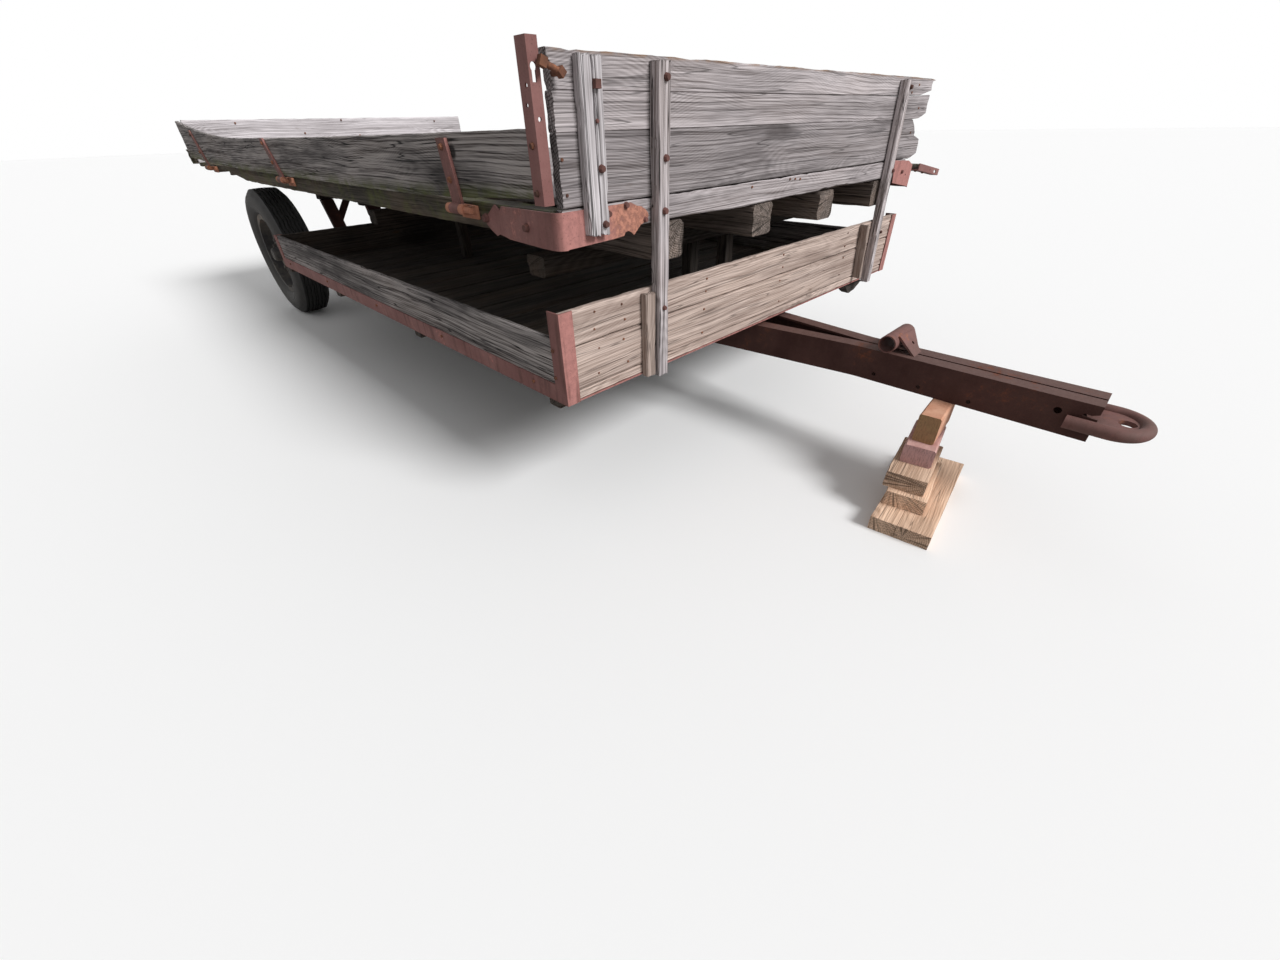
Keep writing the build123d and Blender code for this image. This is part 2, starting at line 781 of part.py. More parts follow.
# Hitch: a round bar bent to a loop, with a pin plate welded across it
hitch_bar_radius = 22
hitch_tail_length = 227
hitch_pin_radius = 25
hitch_pin_offset = 38
hitch_plate_thickness = 16
hitch_loop_half = drawbar_half + hitch_bar_radius
hitch_centre_d = hitch_loop_half + hitch_bar_radius - drawbar_reach
hitch_tail_d = hitch_tail_length - drawbar_reach
with BuildPart() as hitch_loop:
    with BuildLine() as loop_path:
        Line((-hitch_loop_half, along(hitch_tail_d), hitch_z), (-hitch_loop_half, along(hitch_centre_d), hitch_z))
        ThreePointArc(
            (-hitch_loop_half, along(hitch_centre_d), hitch_z),
            (0, along(hitch_centre_d - hitch_loop_half), hitch_z),
            (hitch_loop_half, along(hitch_centre_d), hitch_z),
        )
        Line((hitch_loop_half, along(hitch_centre_d), hitch_z), (hitch_loop_half, along(hitch_tail_d), hitch_z))
    with BuildSketch(Plane.XZ.offset(-along(hitch_tail_d))):
        with Locations((-hitch_loop_half, hitch_z)):
            Circle(hitch_bar_radius)
    sweep(path=loop_path.line)
save(hitch_loop.part, "hitch_loop")

with BuildPart() as hitch_plate:
    with BuildSketch(Plane.XY.offset(hitch_z - hitch_plate_thickness / 2)):
        plate_half = hitch_loop_half - hitch_bar_radius
        with Locations((0, along(hitch_centre_d))):
            Circle(plate_half)
        with Locations((0, along((hitch_centre_d + drawbar_nose_d) / 2))):
            Rectangle(2 * plate_half, drawbar_nose_d - hitch_centre_d)
        with Locations((0, along(hitch_centre_d - hitch_pin_offset))):
            Circle(hitch_pin_radius, mode=Mode.SUBTRACT)
    extrude(amount=hitch_plate_thickness)
save(hitch_plate.part, "hitch_plate")

# Pipe across the top of the drawbar
pipe_radius = 34
pipe_wall = 4
pipe_length = 193
pipe_d = -537
pipe_left_x = -73
with BuildPart() as jack_pipe:
    with BuildSketch(Plane.YZ.offset(pipe_left_x)):
        with Locations((along(pipe_d), chassis_top + pipe_radius)):
            Circle(pipe_radius)
            Circle(pipe_radius - pipe_wall, mode=Mode.SUBTRACT)
    extrude(amount=pipe_length)
save(jack_pipe.part, "jack_pipe")

# Gusset plate on the two top flanges, leaning back until it touches the pipe
gusset_thickness = 8
gusset_foot_d = -626
gusset_hole_radius = 7
gusset_hole_place = (22, 39)
# columns: x, distance up the slope
gusset_table = ((-38, 0), (35, 0), (45, 20), (74, 51), (100, 81), (-38, 88))
gusset_slope = 2 * math.atan(pipe_radius / (pipe_d - gusset_foot_d))
gusset_plane = Plane(
    origin=(0, along(gusset_foot_d), chassis_top),
    x_dir=(1, 0, 0),
    z_dir=(0, -math.sin(gusset_slope), math.cos(gusset_slope)),
)
gusset_toe = gusset_thickness / math.tan(gusset_slope)
with BuildPart() as pipe_gusset:
    with BuildSketch(gusset_plane):
        with BuildLine():
            Polyline((-38, -gusset_toe), (35, -gusset_toe), *gusset_table[1:], close=True)
        make_face()
        with Locations(gusset_hole_place):
            Circle(gusset_hole_radius, mode=Mode.SUBTRACT)
    extrude(amount=gusset_thickness)
    with Locations((0, along(gusset_foot_d), chassis_top - channel_depth / 2)):
        Box(4 * drawbar_half, channel_depth, channel_depth, mode=Mode.SUBTRACT)
save(pipe_gusset.part, "pipe_gusset")

# Axle: a square beam with turned spindles
spindle_end_x = wheel_outer_x - 18
beam_half = wheel_inner_x - 40
with BuildPart() as axle:
    with Locations((0, axle_y, wheel_radius)):
        Box(2 * beam_half, axle_beam, axle_beam)
    with BuildSketch(Plane.YZ.offset(-spindle_end_x)):
        with Locations((axle_y, wheel_radius)):
            Circle(spindle_radius)
    extrude(amount=2 * spindle_end_x)
save(axle.part, "axle")

# Struts from the chassis rails out to the two rear bolsters; the last pair has a brace to the inside
strut_width = 90
strut_thickness = 50
strut_lean = 53
strut_bearing = 35
brace_thickness = 12
brace_width = 62
brace_height = 144
brace_foot_inset = 18
brace_lean = 123
with BuildPart() as chassis_struts:
    for side in (-1, 1):
        for row in (2, 3):
            strut_rear_d = bolster_table[row][0] + strut_bearing
            foot_x = chassis_x(strut_rear_d) - channel_flange / 2
            head_x = foot_x + strut_lean
            with BuildSketch(Plane.XZ.offset(-along(strut_rear_d))):
                with BuildLine():
                    Polyline(
                        (side * (foot_x - strut_width / 2), chassis_top),
                        (side * (foot_x + strut_width / 2), chassis_top),
                        (side * (head_x + strut_width / 2), bolster_bottom),
                        (side * (head_x - strut_width / 2), bolster_bottom),
                        close=True,
                    )
                make_face()
            extrude(amount=strut_thickness)
        brace_foot_x = foot_x + strut_lean * brace_height / (bolster_bottom - chassis_top) - brace_foot_inset
        brace_head_x = brace_foot_x - brace_lean
        with BuildSketch(Plane.XZ.offset(-along(strut_rear_d))):
            with BuildLine():
                Polyline(
                    (side * (brace_foot_x - brace_width / 2), chassis_top + brace_height),
                    (side * (brace_foot_x + brace_width / 2), chassis_top + brace_height),
                    (side * (brace_head_x + brace_width / 2), bolster_bottom),
                    (side * (brace_head_x - brace_width / 2), bolster_bottom),
                    close=True,
                )
            make_face()
        extrude(amount=brace_thickness)
save(chassis_struts.part, "chassis_struts")

# Wheels: profiles turned round the axle's line
wheel_plane = Plane(origin=(0, axle_y, wheel_radius), x_dir=(1, 0, 0), z_dir=(0, -1, 0))
wheel_axis = Axis((0, axle_y, wheel_radius), (1, 0, 0))
hub_radius = 75
hub_bore = spindle_radius + hub_bore_clearance
hub_back = 60
disc_inset = 78
disc_x = wheel_outer_x - disc_inset
disc_thickness = 10
disc_flat_radius = 120
disc_dish = 20
hand_hole_count = 6
hand_hole_radius = 26
hand_hole_circle = 178
rim_wall = 9
rim_inset = 30
rim_flange = 7
rim_lip = 5
cap_radius = 48
cap_nose_radius = 40
cap_inset = 8
cap_wall = 6
# columns: inset from the tyre's side face, depth below its tread
tyre_profile = (
    (37, 170), (31, 168), (19, 155), (8, 136), (2, 116), (0, 96), (1, 76),
    (6, 56), (14, 38), (24, 23), (36, 12), (52, 4), (70, 0),
)


def tyre(side):
    bead_inset = rim_inset + rim_flange
    half = [(bead_inset, wheel_radius - rim_radius), *tyre_profile]
    outline = [(side * (wheel_outer_x - inset), wheel_radius - depth) for inset, depth in half]
    outline += [(side * (wheel_inner_x + inset), wheel_radius - depth) for inset, depth in reversed(half)]
    with BuildPart() as body:
        with BuildSketch(wheel_plane):
            with BuildLine():
                Polyline(*outline, close=True)
            make_face()
        revolve(axis=wheel_axis)
    return body.part


def rim(side):
    outer = side * (wheel_outer_x - rim_inset)
    inner = side * (wheel_inner_x + rim_inset)
    step = -side
    well = rim_radius - rim_wall
    front = side * disc_x
    back = front + step * disc_thickness
    with BuildPart() as body:
        with BuildSketch(wheel_plane):
            with BuildLine():
                Polyline(
                    (outer, rim_flange_radius), (outer + step * rim_lip, rim_flange_radius),
                    (outer + step * rim_flange, rim_radius), (inner - step * rim_flange, rim_radius),
                    (inner - step * rim_lip, rim_flange_radius), (inner, rim_flange_radius),
                    (inner, well), (outer, well),
                    close=True,
                )
            make_face()
            with BuildLine():
                Polyline(
                    (front, hub_radius), (back, hub_radius), (back, disc_flat_radius),
                    (back + step * disc_dish, well), (front + step * disc_dish, well), (front, disc_flat_radius),
                    close=True,
                )
            make_face()
        revolve(axis=wheel_axis)
        with BuildSketch(Plane.YZ.offset(front - step * disc_thickness)):
            with Locations((axle_y, wheel_radius)):
                with PolarLocations(hand_hole_circle, hand_hole_count):
                    Circle(hand_hole_radius)
        extrude(amount=step * (disc_dish + 3 * disc_thickness), mode=Mode.SUBTRACT)
    return body.part


def hub(side):
    nose_x = wheel_outer_x - cap_inset
    with BuildPart() as body:
        with BuildSketch(wheel_plane):
            with BuildLine():
                Polyline(
                    (side * (disc_x - hub_back), hub_bore), (side * (disc_x - hub_back), hub_radius - 12),
                    (side * (disc_x - 12), hub_radius - 6), (side * disc_x, hub_radius),
                    (side * (disc_x + 8), hub_radius - 4), (side * (disc_x + 12), cap_radius + 4),
                    (side * (nose_x - 12), cap_radius), (side * nose_x, cap_nose_radius),
                    (side * nose_x, 0), (side * (nose_x - cap_wall), 0), (side * (nose_x - cap_wall), hub_bore),
                    close=True,
                )
            make_face()
        revolve(axis=wheel_axis)
    return body.part


for side, word, drop, opened in side_table:
    save(tyre(side), "tyre_" + word)
    save(rim(side), "rim_" + word)
    save(hub(side), "hub_" + word)

# Parking stack under the drawbar, from the ground up
brick_length = 230
brick_width = 110
brick_thickness = 76
block_upper = 65
block_lower = 61
base_thickness = chassis_bottom - brick_width - brick_thickness - block_upper - block_lower
# columns: name, length along x, width along y, height, centre x, centre d, turn in degrees
stack_table = (
    ("stack_base_timber", 578, 208, base_thickness, -206, -854, 7),
    ("stack_block_lower", 310, 142, block_lower, -237, -826, 10),
    ("stack_block_upper", 300, 144, block_upper, -218, -804, 9),
    ("stack_brick_flat", brick_length, brick_width, brick_thickness, -156, -797, 10),
    ("stack_brick_edge", brick_length, brick_thickness, brick_width, -113, -797, 5),
)
stack_z = 0
for name, length, width, height, centre_x, centre_d, turn in stack_table:
    with BuildPart() as block:
        with BuildSketch(Plane.XY.offset(stack_z)):
            with Locations(Location((centre_x, along(centre_d)), turn)):
                Rectangle(length, width)
        extrude(amount=height)
    save(block.part, name)
    stack_z += height
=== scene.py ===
"""An old two-deck farm trailer: weathered timbers, rusty steelwork, two dusty wheels and a parking stack."""
import json
import math
import random
import bmesh
import bpy
import numpy as np
from mathutils import Matrix, Vector


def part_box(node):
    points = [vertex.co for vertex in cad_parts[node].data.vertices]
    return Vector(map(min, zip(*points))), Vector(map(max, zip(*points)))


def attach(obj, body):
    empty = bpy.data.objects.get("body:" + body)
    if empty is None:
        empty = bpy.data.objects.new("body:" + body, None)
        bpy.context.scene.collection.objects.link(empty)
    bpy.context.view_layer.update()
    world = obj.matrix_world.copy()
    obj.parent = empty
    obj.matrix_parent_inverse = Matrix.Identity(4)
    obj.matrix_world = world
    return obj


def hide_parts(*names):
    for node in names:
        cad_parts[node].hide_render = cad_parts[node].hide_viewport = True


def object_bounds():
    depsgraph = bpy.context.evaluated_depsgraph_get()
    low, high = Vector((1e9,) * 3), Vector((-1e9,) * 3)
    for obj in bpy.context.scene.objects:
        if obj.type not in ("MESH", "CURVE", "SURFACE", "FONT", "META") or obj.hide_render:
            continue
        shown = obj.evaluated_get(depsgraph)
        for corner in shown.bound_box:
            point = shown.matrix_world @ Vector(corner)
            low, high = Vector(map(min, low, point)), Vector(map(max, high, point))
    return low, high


bl_info = {
    "name": "Weathered farm trailer",
    "version": (1, 0, 0),
    "blender": (4, 5, 0),
    "location": "3D View > Sidebar > Trailer",
    "description": "Dresses the trailer's frame with weathered timbers, rusty steel and fastenings",
    "category": "Object",
}

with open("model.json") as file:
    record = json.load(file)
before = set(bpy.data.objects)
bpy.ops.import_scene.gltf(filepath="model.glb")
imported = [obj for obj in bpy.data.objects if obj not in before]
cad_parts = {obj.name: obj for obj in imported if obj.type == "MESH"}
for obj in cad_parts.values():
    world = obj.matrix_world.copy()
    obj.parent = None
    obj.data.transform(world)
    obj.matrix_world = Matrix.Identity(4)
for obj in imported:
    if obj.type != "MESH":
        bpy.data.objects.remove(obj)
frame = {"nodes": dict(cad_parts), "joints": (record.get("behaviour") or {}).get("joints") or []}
CAD_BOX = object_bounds()

JOIST_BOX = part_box("deck_joists")
DECK_X = (JOIST_BOX[0].x + JOIST_BOX[1].x) / 2
HEAD_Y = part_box("headboard_upper_plank")[0].y
TOP_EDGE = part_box("headboard_upper_plank")[1].z
X = Vector((1, 0, 0))
Y = Vector((0, 1, 0))
Z = Vector((0, 0, 1))
FRONT = Vector((0, -1, 0))
LEFT = Vector((-1, 0, 0))


def at(x, d, z):
    """A point in metres from millimetres: x from the deck's middle, d behind the headboard's face."""
    return Vector((DECK_X + x / 1000, HEAD_Y + d / 1000, z / 1000))


HEADBOARD_THICK = 0.030
HEADBOARD_LEFT = DECK_X - 1.187
HEADBOARD_RIGHT = DECK_X + 1.207
SIDE_KNOT = at(-1248, 434, 1205)
TORN_CORNER = at(-925, -2, 1035)
CAMERA_PLACE = at(-2103, -1200, 1263.6)


# Sizes and colours that a user may change

def size(label, default, note, low=0.0, high=1.0):
    """A length property in metres."""
    return bpy.props.FloatProperty(
        name=label, description=note, default=default, min=low, max=high, precision=4, unit="LENGTH",
    )


def colour(label, default, note):
    """A colour property in linear values."""
    return bpy.props.FloatVectorProperty(
        name=label, description=note, default=default, min=0.0, max=1.0, size=3, subtype="COLOR",
    )


def whole(label, default, note, low=0, high=10000):
    """A property in whole numbers."""
    return bpy.props.IntProperty(name=label, description=note, default=default, min=low, max=high)


def power(label, default, note):
    """The strength of a light."""
    return bpy.props.FloatProperty(name=label, description=note, default=default, min=0.0)


def bearing(label, degrees, note):
    """An angle property, from degrees."""
    return bpy.props.FloatProperty(
        name=label, description=note, default=math.radians(degrees), subtype="ANGLE",
    )


class TrailerTimberSettings(bpy.types.PropertyGroup):
    """How worn the timbers are, and their colours."""

    ring_step: size("Ring spacing", 0.035, "Distance between the points along a board", 0.01, 0.2)
    edge_wear: size("Edge wear", 0.0020, "How far the boards' edges are worn back", 0.0, 0.02)
    groove_depth: size("Groove depth", 0.0010, "Depth of the weathered grooves along the grain", 0.0, 0.01)
    seed: whole("Seed", 7, "Seed of all the wear on the timbers")
    headboard_pale: colour("Headboard pale", (0.58, 0.53, 0.54), "Sun-bleached fibres of the headboard")
    headboard_dark: colour("Headboard dark", (0.135, 0.117, 0.117), "Shaded fibres of the headboard")
    side_pale: colour("Side pale", (0.42, 0.385, 0.375), "Pale fibres of the drop sides")
    side_dark: colour("Side dark", (0.034, 0.030, 0.030), "Dark fibres of the drop sides")
    # Darkened partly for moss and partly as painted shade of the sills under the drop sides.
    sill_pale: colour("Sill pale", (0.120, 0.103, 0.080), "Pale fibres of the sills and the rear timber")
    sill_dark: colour("Sill dark", (0.020, 0.017, 0.013), "Dark fibres of the sills and the rear timber")
    moss: colour("Moss", (0.105, 0.115, 0.040), "Moss and lichen on the lower timbers")
    tray_pale: colour("Tray pale", (0.70, 0.570, 0.505), "Pale fibres of the tray's front boards")
    tray_dark: colour("Tray dark", (0.21, 0.150, 0.125), "Dark fibres of the tray's front boards")
    bleached: colour("Bleached", (0.76, 0.72, 0.74), "Sun-bleached square batten and tailboard")
    frame_pale: colour("Frame pale", (0.40, 0.325, 0.290), "Pale fibres of the frame timbers below the deck")
    frame_dark: colour("Frame dark", (0.055, 0.043, 0.033), "Dark fibres of the frame timbers below the deck")
    # Painted shade: the low timbers are darkened for the shade under the deck and inside the tray.
    low_pale: colour("Low pale", (0.115, 0.098, 0.085), "Pale fibres of the low timbers in shade")
    low_dark: colour("Low dark", (0.022, 0.018, 0.015), "Dark fibres of the low timbers in shade")
    block_pale: colour("Block pale", (0.84, 0.610, 0.455), "Dry softwood of the parking blocks")
    block_dark: colour("Block dark", (0.36, 0.225, 0.150), "Latewood of the parking blocks")


class TrailerSteelSettings(bpy.types.PropertyGroup):
    """Colours of the steelwork."""

    oxide: colour("Red oxide", (0.210, 0.092, 0.084), "Faded red-oxide primer")
    oxide_pale: colour("Faded oxide", (0.300, 0.150, 0.138), "Chalky faded primer")
    # Painted sunlight: forward-facing faces of plates, angles and straps take this paler oxide. The angles
    # and plates also use it as their rust colour.
    sunlit_oxide_and_rust: colour("Sunned oxide", (0.500, 0.225, 0.200), "Primer that the sun has faded on the front faces")
    torn: colour("Torn rust", (0.520, 0.235, 0.165), "Bright rust of torn ends and hinges")
    maroon: colour("Maroon", (0.040, 0.012, 0.009), "Dark maroon-brown of the drawbar")
    maroon_pale: colour("Pale maroon", (0.080, 0.034, 0.028), "Weathered patches of the drawbar")
    web_rust: colour("Web rust", (0.170, 0.058, 0.034), "Dull rust on the drawbar's webs")
    # On the drawbar's upper faces this colour is partly dust and partly painted sunlight.
    hitch: colour("Hitch", (0.125, 0.070, 0.060), "Upper faces of the drawbar, and the hitch loop")
    rust: colour("Rust", (0.34, 0.140, 0.075), "Fresh orange rust")
    rust_dark: colour("Dark rust", (0.072, 0.034, 0.025), "Old brown rust")
    wheel: colour("Wheel paint", (0.060, 0.060, 0.062), "Dull dark grey wheel paint")
    dust: colour("Dust", (0.23, 0.205, 0.175), "Dust on the wheels and in the corners")


class TrailerBrickSettings(bpy.types.PropertyGroup):
    """Colours of the two bricks in the parking stack."""

    orange: colour("Orange brick", (0.56, 0.265, 0.165), "Fired clay of the brick on edge")
    orange_pale: colour("Orange scuffs", (0.70, 0.40, 0.27), "Paler scuffs of the brick on edge")
    orange_speck: colour("Orange specks", (0.34, 0.15, 0.09), "Dark specks of the brick on edge")
    # Painted shade: the left-facing end of the brick on edge takes this dark brown.
    orange_stain: colour("Orange stain", (0.320, 0.200, 0.090), "Stain on the left end of the brick on edge")
    purple: colour("Purple brick", (0.48, 0.258, 0.234), "Hard-burnt clay of the flat brick")
    purple_pale: colour("Purple scuffs", (0.68, 0.43, 0.39), "Paler scuffs of the flat brick")
    purple_speck: colour("Purple specks", (0.14, 0.07, 0.07), "Dark specks of the flat brick")
    # The left-facing end of the flat brick takes this paler purple.
    purple_stain: colour("Purple stain", (0.560, 0.330, 0.325), "Stain on the left end of the flat brick")


class TrailerWheelSettings(bpy.types.PropertyGroup):
    """Sizes and colours of the tyres and the wheel nuts."""

    rubber: colour("Rubber", (0.016, 0.016, 0.017), "Tyre rubber")
    rubber_dust: colour("Dusty rubber", (0.085, 0.080, 0.075), "Dust on the sidewalls")
    groove_depth: size("Tread depth", 0.011, "Depth of the grooves between the tread's ribs", 0.0, 0.03)
    groove_width: size("Groove width", 0.009, "Width of the grooves between the tread's ribs", 0.002, 0.03)
    segments: whole("Segments", 112, "Steps round a tyre", 32, 256)
    nut_radius: size("Nut radius", 0.015, "Radius of the wheel nuts", 0.005, 0.03)
    nut_circle: size("Nut circle", 0.100, "Radius of the circle of wheel nuts", 0.05, 0.2)
    nut_count: whole("Nuts", 6, "Number of wheel nuts", 3, 12)


class TrailerFastenerSettings(bpy.types.PropertyGroup):
    """Sizes of the nails and bolts."""

    nail_radius: size("Nail radius", 0.0045, "Radius of a nail's head", 0.002, 0.01)
    bolt_radius: size("Bolt radius", 0.011, "Radius of a bolt's head", 0.004, 0.02)
    seed: whole("Seed", 3, "Seed of the heads' turns and sizes")


class TrailerStageSettings(bpy.types.PropertyGroup):
    """The floor, the lamps and the camera."""

    floor: colour("Floor", (0.92, 0.92, 0.92), "Pale studio floor")
    bounce: colour("Floor bounce", (0.36, 0.35, 0.34), "Colour of the light that the floor throws back")
    key: power("Key lamp", 3.0, "Strength of the soft key lamp")
    fill: power("Fill lamp", 0.25, "Strength of the fill lamp")
    sky: power("Sky", 0.38, "Strength of the even light")
    lens: bpy.props.FloatProperty(
        name="Lens", description="Focal length of the camera", default=14.03, min=5.0,
        subtype="DISTANCE_CAMERA",
    )
    yaw: bearing("Yaw", 44.38, "Turn of the camera from straight ahead")
    pitch: bearing("Pitch", 35.65, "How far the camera looks down")
    roll: bearing("Roll", 1.54, "Tilt of the camera")


def settings(name):
    """One of the trailer's groups of settings."""
    return getattr(bpy.context.scene, "trailer_" + name)


def colour_of(group, name):
    """A colour from a group of settings, as three numbers."""
    return tuple(getattr(settings(group), name))


# Node helpers

def fill(tree, socket, value):
    """Links an output to a socket, or sets the socket's own value."""
    if isinstance(value, bpy.types.NodeSocket):
        tree.links.new(value, socket)
    elif socket.type == "RGBA" and len(value) == 3:
        socket.default_value = (*value, 1.0)
    else:
        socket.default_value = value


def node(tree, kind, inputs=None, **fields):
    """Adds a node, sets its fields, and fills its inputs with values or links."""
    made = tree.nodes.new(kind)
    for field, value in fields.items():
        setattr(made, field, value)
    for key, value in (inputs or {}).items():
        fill(tree, made.inputs[key], value)
    return made


def math_node(tree, operation, first, second=0.0, clamp=False):
    """One step of arithmetic."""
    inputs = {0: first, 1: second}
    return node(tree, "ShaderNodeMath", inputs, operation=operation, use_clamp=clamp).outputs[0]


def plus(tree, first, second, clamp=False):
    """The sum of two values."""
    return math_node(tree, "ADD", first, second, clamp)


def minus(tree, first, second):
    """The first value less the second."""
    return math_node(tree, "SUBTRACT", first, second)


def times(tree, first, second):
    """The product of two values."""
    return math_node(tree, "MULTIPLY", first, second)


def off(tree, value, level):
    """How far a value is from a level, either way."""
    return math_node(tree, "ABSOLUTE", minus(tree, value, level))


def vector_node(tree, operation, first, second=None):
    """One step of vector arithmetic."""
    inputs = {0: first} if second is None else {0: first, 1: second}
    made = node(tree, "ShaderNodeVectorMath", inputs, operation=operation)
    single = operation in ("LENGTH", "DISTANCE", "DOT_PRODUCT")
    return made.outputs["Value" if single else "Vector"]


def remap(tree, value, low, high, to_low=0.0, to_high=1.0):
    """Maps a value from low..high to another range, clamped."""
    return node(tree, "ShaderNodeMapRange", {0: value, 1: low, 2: high, 3: to_low, 4: to_high}).outputs[0]


def mix(tree, factor, first, second, blend="MIX"):
    """Mixes two colours."""
    made = node(tree, "ShaderNodeMix", {0: factor, 6: first, 7: second}, data_type="RGBA", blend_type=blend)
    return made.outputs[2]


def noise(tree, vector, scale, detail=4.0, rough=0.55, stretch=(1, 1, 1), shift=(0, 0, 0)):
    """Noise on a stretched vector."""
    placing = {"Vector": vector, "Scale": stretch, "Location": shift}
    mapped = node(tree, "ShaderNodeMapping", placing).outputs[0]
    inputs = {"Vector": mapped, "Scale": scale, "Detail": detail, "Roughness": rough}
    return node(tree, "ShaderNodeTexNoise", inputs).outputs[0]


def grain_noise(tree, grain, along, across, detail=2.0, rough=0.5, shift=(0, 0, 0)):
    """Noise drawn out along the grain; along and across are its changes in a metre."""
    return noise(tree, grain, 1.0, detail, rough, (along, across, across), shift)


def attribute(tree, name, output="Fac"):
    """An attribute of the piece's mesh."""
    return node(tree, "ShaderNodeAttribute", attribute_name=name).outputs[output]


def coordinate(tree, output="Object"):
    """The place on the piece, or the way its face looks."""
    return node(tree, "ShaderNodeTexCoord").outputs[output]


def looking(tree, toward, least, full, most):
    """From 0 to most, how squarely a face looks one way."""
    square_on = vector_node(tree, "DOT_PRODUCT", coordinate(tree, "Normal"), toward)
    return remap(tree, square_on, least, full, 0.0, most)


def darker(rgb, share):
    """A colour brought down to a share of its light."""
    return tuple(share * channel for channel in rgb)


def new_material(name):
    """A material with an empty node tree and a Principled shader on its output."""
    material = bpy.data.materials.new(name)
    material.use_nodes = True
    tree = material.node_tree
    tree.nodes.clear()
    shader = node(tree, "ShaderNodeBsdfPrincipled")
    output = node(tree, "ShaderNodeOutputMaterial")
    tree.links.new(shader.outputs[0], output.inputs[0])
    return material, tree, shader


def dress(tree, shader, base, roughness, height, distance, strength, specular=0.5):
    """Gives a shader its colour, roughness and bump."""
    bump = node(tree, "ShaderNodeBump", {"Height": height, "Distance": distance, "Strength": strength})
    fill(tree, shader.inputs["Base Color"], base)
    fill(tree, shader.inputs["Roughness"], roughness)
    fill(tree, shader.inputs["Normal"], bump.outputs[0])
    shader.inputs["Specular IOR Level"].default_value = specular


MADE = {}


def kept(make):
    """Makes a material once for each name."""
    def again(name, *args, **named):
        if name not in MADE:
            MADE[name] = make(name, *args, **named)
        return MADE[name]
    return again


# Weathered timber

def year_rings(tree, grain, spoke, broad, cut_end, ring):
    """Light and dark rings about a board's pith, strongest on its cut ends."""
    turns = times(tree, vector_node(tree, "LENGTH", spoke), 2 * math.pi / ring)
    wave = math_node(tree, "SINE", plus(tree, turns, times(tree, broad, 3.0)))
    patches = grain_noise(tree, grain, 1.2, 9.0, 3.0, shift=(7.7, 0, 0))
    strength = plus(tree, remap(tree, patches, 0.38, 0.66, 0.02, 0.17), times(tree, cut_end, 0.22))
    return times(tree, wave, strength)


def drying_cracks(tree, bend, spoke, cut_end, crack):
    """Fine dark lines along the grain, and rays from the pith on the cut ends."""
    lines = grain_noise(tree, bend, 0.8, 30.0, shift=(0, 7.7, 1.3))
    lines = remap(tree, off(tree, lines, 0.47), 0.002, 0.011, crack, 0.0)
    rays = noise(tree, vector_node(tree, "NORMALIZE", spoke), 9.0, 2.0, 0.6)
    rays = remap(tree, off(tree, rays, 0.5), 0.004, 0.030, 0.9, 0.0)
    return math_node(tree, "MAXIMUM", lines, times(tree, rays, cut_end))


def moss_share(tree, pith, patches, moss, foot_moss):
    """Where moss grows: in patches all over, and along a board's foot."""
    height_share = node(tree, "ShaderNodeSeparateXYZ", {0: pith}).outputs[0]
    low_down = remap(tree, height_share, 0.02, 0.26, foot_moss, 0.0)
    anywhere = remap(tree, patches, 0.48, 0.66, 0.0, moss)
    return plus(tree, anywhere, times(tree, low_down, remap(tree, patches, 0.36, 0.58)), True)


